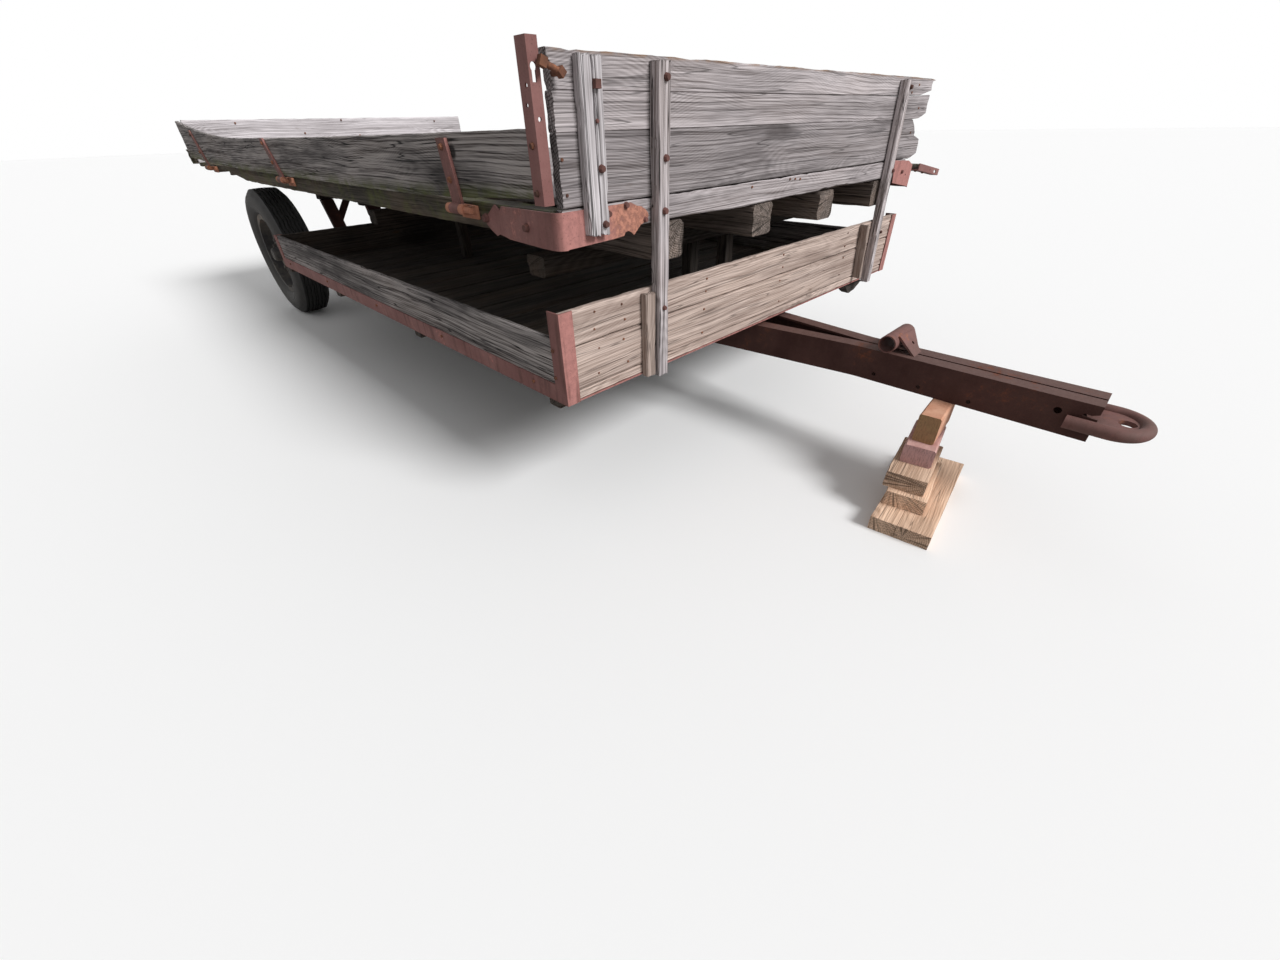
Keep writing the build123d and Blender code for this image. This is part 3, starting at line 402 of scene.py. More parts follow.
@kept
def wood(name, pale, dark, warm=0.15, moss=0.0, crack=0.5, warm_colour=(0.25, 0.15, 0.09), contrast=1.0,
         ring=0.007, stain=0.6, foot_moss=0.0, torn_top=0.0, knot_hole_shade=None):
    """Timber on the boards' own grain; pale and dark name colours of the timber settings."""
    material, tree, shader = new_material(name)
    pale, dark = colour_of("timber", pale), colour_of("timber", dark)
    grain = attribute(tree, "grain", "Vector")
    pith = attribute(tree, "pith", "Vector")
    tone = attribute(tree, "tone")
    cut_end = attribute(tree, "cut_end")
    place = coordinate(tree)
    patches = noise(tree, place, 9.0, 6.0, 0.7)

    wander = times(tree, grain_noise(tree, grain, 1.1, 2.6), 0.05)
    bend = vector_node(tree, "ADD", grain, node(tree, "ShaderNodeCombineXYZ", {"Y": wander}).outputs[0])
    broad = grain_noise(tree, bend, 0.7, 24.0, 3.0, 0.55)
    streak = grain_noise(tree, bend, 1.0, 175.0, 3.0, 0.60)
    fibre = grain_noise(tree, bend, 6.0, 400.0, 2.0, 0.60)
    blotch = grain_noise(tree, grain, 1.6, 7.0, 4.0, 0.60, (3.1, 0, 0))
    spoke = vector_node(tree, "MULTIPLY", pith, (0.0, 1.0, 1.0))
    level = plus(tree, times(tree, streak, 0.46), times(tree, fibre, 0.34))
    level = plus(tree, level, times(tree, broad, 0.20))
    level = remap(tree, level, 0.5 - 0.11 / contrast, 0.5 + 0.10 / contrast)
    level = plus(tree, level, year_rings(tree, grain, spoke, broad, cut_end, ring), True)
    base = mix(tree, level, dark, pale)
    base = mix(tree, remap(tree, blotch, 0.45, 0.75, 0.0, warm), base, warm_colour)
    base = mix(tree, remap(tree, blotch, 0.52, 0.32, 0.0, stain), base, dark)

    cells = node(tree, "ShaderNodeMapping", {"Vector": grain, "Scale": (1.5, 4.5, 4.5)}).outputs[0]
    knots = node(tree, "ShaderNodeTexVoronoi", {"Vector": cells, "Scale": 1.0}).outputs["Distance"]
    base = mix(tree, remap(tree, knots, 0.02, 0.055, 0.75, 0.0), base, darker(warm_colour, 0.45))
    cracks = drying_cracks(tree, bend, spoke, cut_end, crack)
    base = mix(tree, cracks, base, darker(dark, 0.22))
    # Painted shade: a dark patch where the shade inside a knot hole falls.
    if knot_hole_shade:
        spot, reach = knot_hole_shade
        away = plus(tree, vector_node(tree, "DISTANCE", place, spot), times(tree, patches, reach * 0.8))
        base = mix(tree, remap(tree, away, reach, reach * 1.35, 0.92, 0.0), base, darker(dark, 0.3))
    if torn_top:
        raised = node(tree, "ShaderNodeSeparateXYZ", {0: place}).outputs[2]
        edge = remap(tree, raised, TOP_EDGE - 0.010, TOP_EDGE - 0.002, 0.0, torn_top)
        base = mix(tree, times(tree, edge, remap(tree, patches, 0.42, 0.56)), base, warm_colour)
    if moss or foot_moss:
        base = mix(tree, moss_share(tree, pith, patches, moss, foot_moss), base, colour_of("timber", "moss"))
    even = node(tree, "ShaderNodeCombineColor", {0: tone, 1: tone, 2: tone}).outputs[0]
    base = mix(tree, 1.0, base, even, "MULTIPLY")

    height = minus(tree, plus(tree, streak, times(tree, fibre, 0.6)), cracks)
    dress(tree, shader, base, remap(tree, level, 0.0, 1.0, 0.95, 0.82), height, 0.0035, 0.75, 0.25)
    return material


def timber_materials():
    """The trailer's timbers by name."""
    grey = ("headboard_pale", "headboard_dark")
    return {
        "headboard": wood("HeadboardGrey", *grey, warm=0.10, contrast=0.95, torn_top=0.8),
        "stained": wood("HeadboardStained", *grey, warm=0.10, stain=1.0),
        "batten": wood("BattenGrey", *grey, warm=0.20, contrast=1.4, crack=1.0),
        "floor": wood("DeckGrey", *grey, contrast=0.8),
        "tail": wood("TailGrey", "bleached", "headboard_dark", warm=0.0, contrast=0.7, stain=0.25, crack=0.3),
        "bleached": wood(
            "Bleached", "bleached", "headboard_dark", warm=0.04, contrast=0.7, crack=0.9, ring=0.016,
        ),
        # The drop sides carry the painted shade of a knot hole about SIDE_KNOT.
        "side": wood(
            "SideGrey", "side_pale", "side_dark", warm=0.12, crack=1.0, contrast=1.5, stain=0.8,
            foot_moss=0.8, knot_hole_shade=(SIDE_KNOT, 0.027),
        ),
        # The mossy timber's dark colours are partly moss and partly painted shade under the drop sides.
        "mossy": wood("MossyGrey", "sill_pale", "sill_dark", warm=0.25, moss=0.75),
        "tray": wood("TrayTan", "tray_pale", "tray_dark", warm=0.25, contrast=0.85),
        "frame": wood("FrameBrown", "frame_pale", "frame_dark", warm=0.30, crack=0.8),
        # Painted shade: dark timber for the bolsters, posts and tray timbers that lie in shade.
        "low": wood("LowTimber", "low_pale", "low_dark", warm=0.20),
        "block": wood(
            "BlockSoftwood", "block_pale", "block_dark", warm=0.18, warm_colour=(0.42, 0.24, 0.12),
            contrast=0.8,
        ),
    }


# Steel, rubber and brick

@kept
def steel(name, paint, pale, rust=0.4, streaks=0.3, grit=0.5, gloss=0.62, bare=None, face_tint=None,
          patchy=0.55, rust_colour="rust"):
    """Old paint on steel, with rust in patches and runs; its colours name those of the steel settings.

    The tint on faces that look one way is (direction, colour, most): painted sunlight on the fronts of
    plates, angles and straps, and on the drawbar's upper faces partly dust and partly painted sunlight;
    bare is (place, reach, colour) for bright rust about a place.
    """
    material, tree, shader = new_material(name)
    paint, pale, old, fresh = (colour_of("steel", key) for key in (paint, pale, "rust_dark", rust_colour))
    place = coordinate(tree)
    cloud = noise(tree, place, 5.0, 6.0, 0.62)
    fine = noise(tree, place, 55.0, 6.0, 0.7, shift=(3.0, 1.0, 2.0))
    speck = noise(tree, place, 260.0, 2.0, 0.6)
    runs = noise(tree, place, 1.0, 4.0, 0.6, (38.0, 38.0, 4.0))
    base = mix(tree, remap(tree, cloud, 0.38, 0.68), paint, pale)
    # Painted sunlight: faces that look the given way take the tint colour; on the drawbar's tops it is partly
    # dust.
    if face_tint:
        toward, tint_colour, most = face_tint
        tinted_share = times(tree, looking(tree, toward, 0.5, 0.95, most), remap(tree, fine, 0.30, 0.62, 0.45, 1.0))
        base = mix(tree, tinted_share, base, colour_of("steel", tint_colour))
    base = mix(tree, remap(tree, runs, 0.5, 0.72, 0.0, streaks), base, old)
    patch = plus(tree, times(tree, cloud, patchy), times(tree, fine, 1.0 - patchy))
    worn = remap(tree, patch, 0.62 - 0.16 * rust, 0.70 - 0.14 * rust)
    base = mix(tree, worn, base, mix(tree, remap(tree, fine, 0.4, 0.65), old, fresh))
    if bare:
        spot, reach, bright = bare
        bright = colour_of("steel", bright)
        near = remap(tree, vector_node(tree, "DISTANCE", place, spot), reach * 0.5, reach, 0.95, 0.0)
        rusty = mix(tree, remap(tree, fine, 0.40, 0.60), darker(bright, 0.45), bright)
        base = mix(tree, times(tree, near, remap(tree, fine, 0.30, 0.46)), base, rusty)
    base = mix(tree, remap(tree, speck, 0.60, 0.72, 0.0, 0.55), base, old)
    height = plus(tree, times(tree, fine, grit), times(tree, speck, grit * 0.6))
    height = minus(tree, height, times(tree, worn, 0.35))
    dress(tree, shader, base, remap(tree, worn, 0.0, 1.0, gloss, 0.93), height, 0.0016, 0.6, 0.3)
    return material


def steel_materials():
    """The trailer's steel finishes by name."""
    red = ("oxide", "oxide_pale")
    return {
        "oxide": steel("RedOxide", *red, 0.35, 0.25),
        # Painted sunlight: the front faces of the angles, plates and straps take the pale sunlit oxide.
        "angle": steel(
            "AngleOxide", *red, 0.42, 0.75, grit=0.8, gloss=0.7, face_tint=(FRONT, "sunlit_oxide_and_rust", 0.8),
            rust_colour="sunlit_oxide_and_rust",
        ),
        "plate": steel(
            "PlateRust", *red, 0.45, 0.3, grit=1.0, gloss=0.7, bare=(TORN_CORNER, 0.14, "torn"),
            face_tint=(FRONT, "sunlit_oxide_and_rust", 0.85), rust_colour="sunlit_oxide_and_rust",
        ),
        # The straps' dark base is partly their old rust and partly painted shade of their left faces.
        "strap": steel(
            "StrapOxide", "rust_dark", "oxide", 0.30, 0.5, grit=0.7, gloss=0.7, face_tint=(FRONT, "sunlit_oxide_and_rust", 0.7),
            rust_colour="oxide_pale",
        ),
        "bracket": steel("BracketRust", "rust", "torn", 0.5, 0.3, grit=1.0, gloss=0.85),
        # The drawbar's upper faces take the paler hitch colour: partly dust, partly painted sunlight.
        "drawbar": steel(
            "Maroon", "maroon", "maroon_pale", 0.30, 0.35, grit=0.9, gloss=0.7, face_tint=(Z, "hitch", 0.85),
            patchy=0.72, rust_colour="web_rust",
        ),
        "hitch": steel("HitchRust", "hitch", "oxide", 0.40, 0.35, grit=1.0, gloss=0.7),
        "rusty": steel("RustyIron", "rust_dark", "rust", 0.9, 0.2, grit=1.0, gloss=0.85),
        "bolt": steel("DarkIron", "rust_dark", "oxide", 0.35, 0.3, grit=1.0, gloss=0.75),
        "wheel": steel("WheelPaint", "wheel", "dust", 0.25, 0.2, grit=0.5, gloss=0.75),
    }


@kept
def rubber(name):
    """Tyre rubber with dust lying on the sidewalls and in the grooves."""
    material, tree, shader = new_material(name)
    place = coordinate(tree)
    cloud = noise(tree, place, 9.0, 6.0, 0.65)
    fine = noise(tree, place, 120.0, 4.0, 0.65)
    crazing = noise(tree, place, 300.0, 2.0, 0.5)
    amount = times(tree, attribute(tree, "dust"), remap(tree, cloud, 0.30, 0.70, 0.35, 1.0))
    amount = times(tree, amount, remap(tree, fine, 0.3, 0.7, 0.75, 1.0))
    base = mix(tree, amount, colour_of("wheels", "rubber"), colour_of("wheels", "rubber_dust"))
    dress(tree, shader, base, remap(tree, amount, 0.0, 1.0, 0.62, 0.9), crazing, 0.0008, 0.35)
    return material


@kept
def brick(name, family):
    """Fired clay with pits, paler scuffs and dark specks; faces that look left take their own colour, painted
    shade on the brick on edge.
    """
    material, tree, shader = new_material(name)
    clay, pale, speck, stain = (
        colour_of("bricks", family + part) for part in ("", "_pale", "_speck", "_stain")
    )
    place = coordinate(tree)
    cloud = noise(tree, place, 16.0, 6.0, 0.65)
    fine = noise(tree, place, 150.0, 5.0, 0.7)
    chips = noise(tree, place, 1.0, 3.0, 0.6, (260.0, 260.0, 50.0))
    base = mix(tree, remap(tree, cloud, 0.35, 0.68), clay, pale)
    base = mix(tree, remap(tree, fine, 0.60, 0.72, 0.0, 0.7), base, speck)
    # Faces that look left take the end colour: painted shade on the brick on edge, a paler purple on the flat
    # brick.
    amount = times(tree, looking(tree, LEFT, 0.72, 0.97, 0.95), remap(tree, cloud, 0.3, 0.6, 0.75, 1.0))
    stained = mix(tree, remap(tree, chips, 0.46, 0.64, 0.0, 0.55), stain, darker(stain, 0.35))
    base = mix(tree, amount, base, stained)
    dress(tree, shader, base, 0.92, plus(tree, fine, cloud), 0.003, 0.7)
    return material


# Boards

def smooth_wave(rng, shortest, longest, count=6):
    """A seeded smooth curve, about -1 to 1, from waves of several lengths in metres."""
    waves = []
    for index in range(count):
        length = longest * (shortest / longest) ** (index / (count - 1))
        strength = length ** 0.45 * rng.uniform(0.5, 1.0)
        waves.append((strength, 2 * math.pi / length, rng.uniform(0, 2 * math.pi)))
    total = sum(wave[0] for wave in waves)

    def curve(s):
        return sum(strength * np.sin(pace * s + start) for strength, pace, start in waves) / total * 1.6
    return curve


def half_wave(values):
    """A wave's values, clipped and brought between 0 and 1."""
    return 0.5 + 0.5 * np.clip(values, -1, 1)


def bites(rng, length, count, depth, width):
    """Notches in a worn edge: a curve of their depth along it."""
    notches = []
    for _ in range(count):
        place = rng.uniform(0, length)
        notches.append((place, depth * rng.uniform(0.3, 1.0), width * rng.uniform(0.4, 1.5)))

    def curve(s):
        return sum(deep * np.exp(-((s - place) / wide) ** 2) for place, deep, wide in notches)
    return curve


# What a board may be given: curves of its low and high edge, ragged profiles of its start and end, how
# strongly its edges wear and its faces groove, how far its ends are jagged, how many bites an edge has, the
# share of the wear that each edge gets, the spacing of its rings, the points across it, its corner's
# radius and its tone.
BOARD_DEFAULTS = {
    "low": None, "high": None, "start": None, "end": None, "wear": 1.0, "groove": 1.0, "jag": 0.003,
    "bites": 2, "snug_low": 1.0, "snug_high": 1.0, "step": None, "rows": None, "corner": None, "tone": None,
}


def board(origin, along, across, through, length, width, thick, **more):
    """A board's description. Its corner is at origin, and its three directions are unit vectors."""
    return {
        **BOARD_DEFAULTS, "origin": Vector(origin), "along": Vector(along), "across": Vector(across),
        "through": Vector(through), "length": length, "width": width, "thick": thick, **more,
    }


def box_board(near, far, grain, face, **more):
    """A board that fills a box; grain names the axis of its length, and face the axis of its thickness."""
    near = Vector(near)
    spans = Vector(far) - near
    third = ({"x", "y", "z"} - {grain, face}).pop()
    axes = {"x": X, "y": Y, "z": Z}
    order = (grain, third, face)
    return board(near, *(axes[key] for key in order), *(getattr(spans, key) for key in order), **more)


def leaning_board(foot, head, wide, thick, **more):
    """A batten from its foot up to its head, with its back to the boards behind it."""
    rise = head - foot
    along = rise.normalized()
    return board(foot, along, Y.cross(along).normalized(), Y, rise.length, wide, thick, **more)


def board_section(row, wear):
    """A ring round a board: shares of the width and the thickness, and the points on a broad face."""
    width, thick = row["width"], row["thick"]
    count = row["rows"] or int(min(18, max(4, width / 0.014)))
    corner = min(row["corner"] or 0.0030 + wear * 0.4, thick * 0.3, width * 0.3)
    r, q = corner / width, corner / thick
    side = np.linspace(r, 1 - r, count)
    a = np.concatenate((side, [1, 1], side[::-1], [0, 0]))
    b = np.concatenate((np.zeros(count), [q, 1 - q], np.ones(count), [1 - q, q]))
    return a, b, count


def ring_places(row):
    """The rings' shares of a board's length, with one close to each end."""
    count = max(6, int(row["length"] / (row["step"] or settings("timber").ring_step)))
    t = np.linspace(0, 1, count)
    near = min(0.2 / count, 0.006 / row["length"])
    return np.concatenate(([0, near], t[1:-1], [1 - near, 1]))


def board_faces(rings, count):
    """The faces between a board's rings and over its ends; count is the points on a broad face."""
    ring = 2 * count + 4
    index = np.arange(rings * ring).reshape(rings, ring)
    nxt = np.roll(index, -1, axis=1)
    faces = np.stack((index[:-1], nxt[:-1], nxt[1:], index[1:]), axis=-1).reshape(-1, 4).tolist()
    cap = [(i, i + 1, 2 * count - i, 2 * count + 1 - i) for i in range(count - 1)]
    cap += [(count - 1, count, count + 1, count + 2), (0, 2 * count + 1, 2 * count + 2, 2 * count + 3)]
    last = (rings - 1) * ring
    return faces + [face[::-1] for face in cap] + [tuple(last + i for i in face) for face in cap]


def board_mesh(row, rng):
    """Rings of points along a weathered board: worn edges, grooves along the grain, ragged ends."""
    look = settings("timber")
    length, width, thick = row["length"], row["width"], row["thick"]
    wear = look.edge_wear * row["wear"]
    a, b, count = board_section(row, wear)
    t = ring_places(row)
    offset = np.array([rng.uniform(0, 40), rng.uniform(0, 9), rng.uniform(0, 9)])

    jag_start, jag_end = smooth_wave(rng, 0.008, 0.12), smooth_wave(rng, 0.008, 0.12)
    round_end = a * width + 0.4 * b * thick
    start = row["jag"] * half_wave(jag_start(round_end))
    end = length - row["jag"] * half_wave(jag_end(round_end))
    if row["start"]:
        start = start + np.interp(a, *zip(*row["start"]))
    if row["end"]:
        end = end - np.interp(a, *zip(*row["end"]))
    s = start[None, :] + t[:, None] * (end - start)[None, :]

    waves = [smooth_wave(rng, 0.03, 0.35) for _ in range(4)]
    dips = [bites(rng, length, row["bites"], wear * 1.6, 0.02) for _ in range(4)]
    front = (b < 0.5)[None, :]

    def worn(first):
        """How far one edge is worn back, on the front face and on the back."""
        wave = np.where(front, waves[first](s), waves[first + 1](s))
        return wear * (0.5 + 0.5 * wave) + np.where(front, dips[first](s), dips[first + 1](s))

    low = np.zeros_like(s) if row["low"] is None else row["low"](s)
    high = np.full_like(s, width) if row["high"] is None else row["high"](s)
    low = low + row["snug_low"] * worn(0)
    high = high - row["snug_high"] * worn(2)
    height = low + a[None, :] * (high - low)

    grooves = [smooth_wave(rng, 0.018, 0.09), smooth_wave(rng, 0.018, 0.09)]
    sway = smooth_wave(rng, 0.3, 2.0)
    moved = height + 0.012 * sway(s)
    depth = look.groove_depth * row["groove"]
    cut_front, cut_back = (depth * half_wave(groove(moved)) for groove in grooves)
    through = b[None, :]
    deep = through * thick + np.where(through == 0, cut_front, 0) - np.where(through == 1, cut_back, 0)

    along, across, inward = (np.array(row[key]) for key in ("along", "across", "through"))
    points = np.array(row["origin"]) + s[..., None] * along
    points = points + height[..., None] * across + deep[..., None] * inward
    grain = np.stack((s, height, deep), axis=-1) + offset
    pith_up = rng.uniform(-0.2, 1.2) * width
    pith_in = thick / 2 + rng.choice((-1, 1)) * rng.uniform(0.012, 0.09)
    drift_up, drift_in = smooth_wave(rng, 0.5, 2.4), smooth_wave(rng, 0.5, 2.4)
    up = height - pith_up + 0.06 * drift_up(s)
    pith = np.stack((np.broadcast_to(a, s.shape), up, deep - pith_in + 0.03 * drift_in(s)), axis=-1)
    faces = board_faces(len(t), count)
    if np.dot(np.cross(along, across), inward) > 0:
        faces = [tuple(face)[::-1] for face in faces]
    tone = row["tone"] if row["tone"] is not None else rng.uniform(0.82, 1.14)
    cut_end = np.zeros(s.shape)
    cut_end[0] = cut_end[-1] = 1.0
    return {
        "points": points.reshape(-1, 3), "faces": faces, "grain": grain.reshape(-1, 3),
        "pith": pith.reshape(-1, 3), "tone": np.full(s.size, tone), "cut_end": cut_end.ravel(),
    }


def mesh_object(name, points, faces, material):
    """A smooth-shaded mesh object from arrays, at the origin."""
    mesh = bpy.data.meshes.new(name)
    mesh.from_pydata([tuple(point) for point in points], [], faces)
    mesh.polygons.foreach_set("use_smooth", [True] * len(mesh.polygons))
    mesh.materials.append(material)
    mesh.update()
    made = bpy.data.objects.new(name, mesh)
    bpy.context.scene.collection.objects.link(made)
    return made


def timbers(name, rows, material, node_name, seed, body="base"):
    """One piece from a list of boards, which replaces the CAD node that it stands for."""
    rng = random.Random(settings("timber").seed * 1000 + seed)
    boards = [board_mesh(row, rng) for row in rows]
    faces, first = [], 0
    for part in boards:
        faces += [tuple(first + i for i in face) for face in part["faces"]]
        first += len(part["points"])

    def joined(key):
        return np.concatenate([part[key] for part in boards])

    made = mesh_object(name, joined("points"), faces, material)
    attributes = made.data.attributes
    for key in ("grain", "pith"):
        attributes.new(key, "FLOAT_VECTOR", "POINT").data.foreach_set("vector", joined(key).ravel())
    for key in ("tone", "cut_end"):
        attributes.new(key, "FLOAT", "POINT").data.foreach_set("value", joined(key))
    made.data.set_sharp_from_angle(angle=math.radians(38))
    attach(made, body)
    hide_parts(node_name)


def solids(node_name):
    """The boxes of a CAD node's separate solids, sorted by their lowest corners."""
    mesh = bmesh.new()
    mesh.from_mesh(frame["nodes"][node_name].data)
    bmesh.ops.remove_doubles(mesh, verts=mesh.verts, dist=1e-6)
    seen, boxes = set(), []
    for start in mesh.verts:
        if start in seen:
            continue
        island, front = [start], [start]
        seen.add(start)
        while front:
            for edge in front.pop().link_edges:
                fresh = [vert for vert in edge.verts if vert not in seen]
                seen.update(fresh)
                island += fresh
                front += fresh
        low = Vector(min(vert.co[i] for vert in island) for i in range(3))
        high = Vector(max(vert.co[i] for vert in island) for i in range(3))
        boxes.append((low, high))
    mesh.free()
    return sorted(boxes, key=lambda pair: tuple(round(c, 4) for c in pair[0]))


def box_timbers(name, node_name, material, slot, grain, face, seed, **more):
    """Weathered boards in the places of a CAD node's own boxes."""
    rows = [box_board(low, high, grain, face, **more) for low, high in solids(node_name)]
    timbers(name, rows, material, node_name, seed)


# Main pieces

class TrailerMakeDeck(bpy.types.Operator):
    """Make the deck's sills, bearers, joists, floorboards, bolsters and posts"""

    bl_idname = "trailer.make_deck"
    bl_label = "Deck frame and floor"

    def execute(self, context):
        look = timber_materials()
        tyre_low, tyre_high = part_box("tyre_left")
        knee_start, knee_end, lift = 0.593, 0.083, 0.046
        rows = []
        for low, high in solids("deck_sills"):
            axle = (tyre_low.y + tyre_high.y) / 2 - low.y
            places = (0, axle - knee_start, axle - knee_end, high.y - low.y)
            rows.append(box_board(
                low, high, "y", "x", wear=1.6, bites=8, jag=0.008,
                low=lambda s, places=places: np.interp(s, places, (0, 0, lift, lift)),
            ))
        timbers("SillTimbers", rows, look["mossy"], "deck_sills", 1)
        frame_slot = "frame_timber"
        box_timbers(
            "BearerTimbers", "deck_bearers", look["frame"], frame_slot, "y", "x", 2, wear=1.6, jag=0.006,
            corner=0.011,
        )
        box_timbers("JoistTimbers", "deck_joists", look["frame"], frame_slot, "x", "y", 3, rows=5, step=0.06)
        box_timbers("FloorBoards", "deck_floorboards", look["floor"], "grey_planks", "y", "z", 4, jag=0.008)
        # The bolsters and posts take the dark low timber, which is painted shade under the deck.
        box_timbers(
            "BolsterTimbers", "deck_bolsters", look["low"], frame_slot, "x", "y", 5, wear=1.5, jag=0.008,
            corner=0.009,
        )
        box_timbers("PostTimbers", "deck_posts", look["low"], frame_slot, "z", "y", 6, rows=6)
        return {"FINISHED"}


def profile(pairs, tall):
    """A ragged end: shares of the height against metres lost, from heights in metres."""
    return [(z / tall, lost) for z, lost in pairs]


def cracked_plank():
    """The headboard's upper plank as two boards with the crack between them."""
    low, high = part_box("headboard_upper_plank")
    run, tall = high.x - low.x, high.z - low.z
    spare = high.x - HEADBOARD_RIGHT
    inset = HEADBOARD_LEFT - low.x

    def crack(s):
        """Height of the crack along the plank."""
        return np.interp(low.x + s - DECK_X, (-1.2, -1.12, 0.96, 1.2), (0.084, 0.0845, 0.0905, 0.099))

    def gape(s):
        """Half the crack's width, which grows towards the broken end."""
        return 0.0001 + 0.0009 * (s / run) ** 3

    place = (low, X, Z, Y, run, tall, HEADBOARD_THICK)
    upper_end = (
        (0, 0.155), (0.04, spare), (0.069, spare + 0.004), (0.098, spare + 0.008), (0.136, spare + 0.006),
        (0.144, 0.002), (0.151, 0.0), (0.160, 0.05), (0.163, 0.18),
    )
    lower_end = (
        (0, spare + 0.153), (0.004, spare + 0.08), (0.018, spare + 0.05), (0.033, spare),
        (0.069, spare + 0.004), (0.098, spare + 0.008), (0.163, spare + 0.004),
    )
    upper = board(
        *place, low=lambda s: crack(s) + gape(s), snug_low=0.1, wear=1.3, jag=0.004, rows=14, bites=10,
        step=0.025, start=profile(((0, 0.012), (0.11, 0.008), (0.128, 0.0), (0.163, 0.001)), tall),
        end=profile(upper_end, tall), tone=1.12,
    )
    lower = board(
        *place, high=lambda s: crack(s) - gape(s), snug_low=0.1, snug_high=0.1, wear=0.8, jag=0.004, rows=10,
        step=0.025, start=profile(((0, inset), (0.163, inset)), tall), end=profile(lower_end, tall),
        tone=1.03,
    )
    return [upper, lower]


def lower_plank():
    """The headboard's lower plank, broken at its right end."""
    low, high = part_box("headboard_lower_plank")
    tall = high.z - low.z
    broken = (
        (0, 0.09), (0.012, 0.0), (0.052, 0.0), (0.084, 0.008), (0.100, 0.088), (0.110, 0.082), (0.144, 0.113),
        (0.17, 0.153),
    )
    return board(
        (HEADBOARD_LEFT, low.y, low.z), X, Z, Y, high.x - HEADBOARD_LEFT, tall + 0.0018, HEADBOARD_THICK,
        low=lambda s: np.interp(s, (0, 2.27, 2.31, 2.4), (0.0065, 0.0065, 0.001, 0.010)),
        snug_low=0.5, snug_high=0.0, end=profile(broken, tall), wear=0.8, jag=0.004, rows=16, bites=5,
        step=0.025, tone=0.75,
    )


def bottom_strip():
    """The thin strip along the headboard's foot, with a wavy lower edge."""
    low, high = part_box("headboard_strip")
    return board(
        low, X, Z, Y, high.x - low.x, high.z - low.z, HEADBOARD_THICK,
        start=[(0, 0.016), (1, 0.016)], end=[(0, 0.028), (0.4, 0.0), (1, 0.014)],
        low=lambda s: 0.002 + 0.003 * np.sin(s * 5.1) + 0.002 * np.sin(s * 13.0),
        wear=1.4, jag=0.006, rows=8, bites=8, step=0.025, tone=1.05,
    )


def split_batten(face):
    """The bleached square batten at the corner, as two halves beside its deep split."""
    wide = 0.074

    def split(s):
        """The split wanders a little about the batten's middle."""
        return 0.52 * wide + 0.003 * np.sin(9.0 * s) + 0.002 * np.sin(23.0 * s)

    half_gap = 0.0005
    halves = (
        (0.402, 0.031, {"high": lambda s: split(s) - half_gap, "jag": 0.010, "tone": 1.20}),
        (0.399, 0.029, {"low": lambda s: split(s) + half_gap, "jag": 0.009, "tone": 1.02}),
    )
    return [
        board((DECK_X - 1.121, face - thick, 1.001), Z, X, Y, tall, wide, thick, wear=0.9, groove=1.6, rows=8,
              bites=4, step=0.012, **more)
        for tall, thick, more in halves
    ]


def long_battens(face):
    """The two battens from the headboard's top down to the low tray's front."""
    thick, foot_z, head_z = 0.041, 0.505, 1.397
    rows = []
    for top_x, foot_x, wide, tone in ((-0.855, -0.855, 0.049, 1.10), (0.797, 0.846, 0.043, 1.50)):
        foot = Vector((DECK_X + foot_x, face - thick, foot_z))
        head = Vector((DECK_X + top_x, face - thick, head_z))
        rows.append(leaning_board(
            foot, head, wide, thick, wear=1.2, groove=1.6, jag=0.005, rows=7, step=0.02, tone=tone,
        ))
    return rows


class TrailerMakeHeadboard(bpy.types.Operator):
    """Make the headboard's planks, strip and battens"""

    bl_idname = "trailer.make_headboard"
    bl_label = "Headboard"

    def execute(self, context):
        look = timber_materials()
        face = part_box("headboard_strip")[0].y
        timbers("HeadboardTop", cracked_plank(), look["headboard"], "headboard_upper_plank", 11)
        timbers("HeadboardMiddle", [lower_plank()], look["stained"], "headboard_lower_plank", 12)
        timbers("HeadboardStrip", [bottom_strip()], look["headboard"], "headboard_strip", 13)
        timbers(
            "CornerBatten", split_batten(face), look["bleached"], "headboard_battens", 14,
        )
        timbers("LongBattens", long_battens(face), look["batten"], "headboard_battens", 15)
        return {"FINISHED"}


class TrailerMakeTail(bpy.types.Operator):
    """Make the tailboard and the timber behind it"""

    bl_idname = "trailer.make_tail"
    bl_label = "Tailboard"

    def execute(self, context):
        look = timber_materials()
        low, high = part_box("tailboard")
        middle, half_gap = (low.z + high.z) / 2, 0.001
        rows = [
            box_board(low, (high.x, high.y, middle - half_gap), "x", "y", bites=5, tone=1.16),
            box_board((low.x, low.y, middle + half_gap), high, "x", "y", wear=1.4, bites=8, tone=1.22),
        ]
        timbers("TailPlanks", rows, look["tail"], "tailboard", 21)
        box_timbers(
            "TailTimber", "tail_timber", look["mossy"], "mossy_timber", "x", "y", 22, wear=1.3, bites=6,
            jag=0.010,
        )
        return {"FINISHED"}


def sweep(level, front_rise, front, rear_rise, rear):
    """A swept edge: level between front and rear, and rising from there to each end of the plank."""
    side_length = 4.816

    def curve(s):
        at_front = front_rise * np.clip((front - s) / front, 0, None) ** 2
        at_rear = rear_rise * np.clip((s - rear) / (side_length - rear), 0, None) ** 2
        return level + at_front + at_rear
    return curve


def right_swing():
    """The right drop side's hinge line, its turn from shut to open, and how far below the left it hangs."""
    joints = {joint["name"]: joint for joint in frame["joints"]}
    right = joints["drop_side_right_hinge"]
    pivot = Vector(right["pos_m"])
    pivot.y = 0
    turn = Matrix.Rotation(-math.radians(right["range_deg"][0]), 4, "Y")
    return pivot, turn, joints["drop_side_left_hinge"]["pos_m"][2] - pivot.z


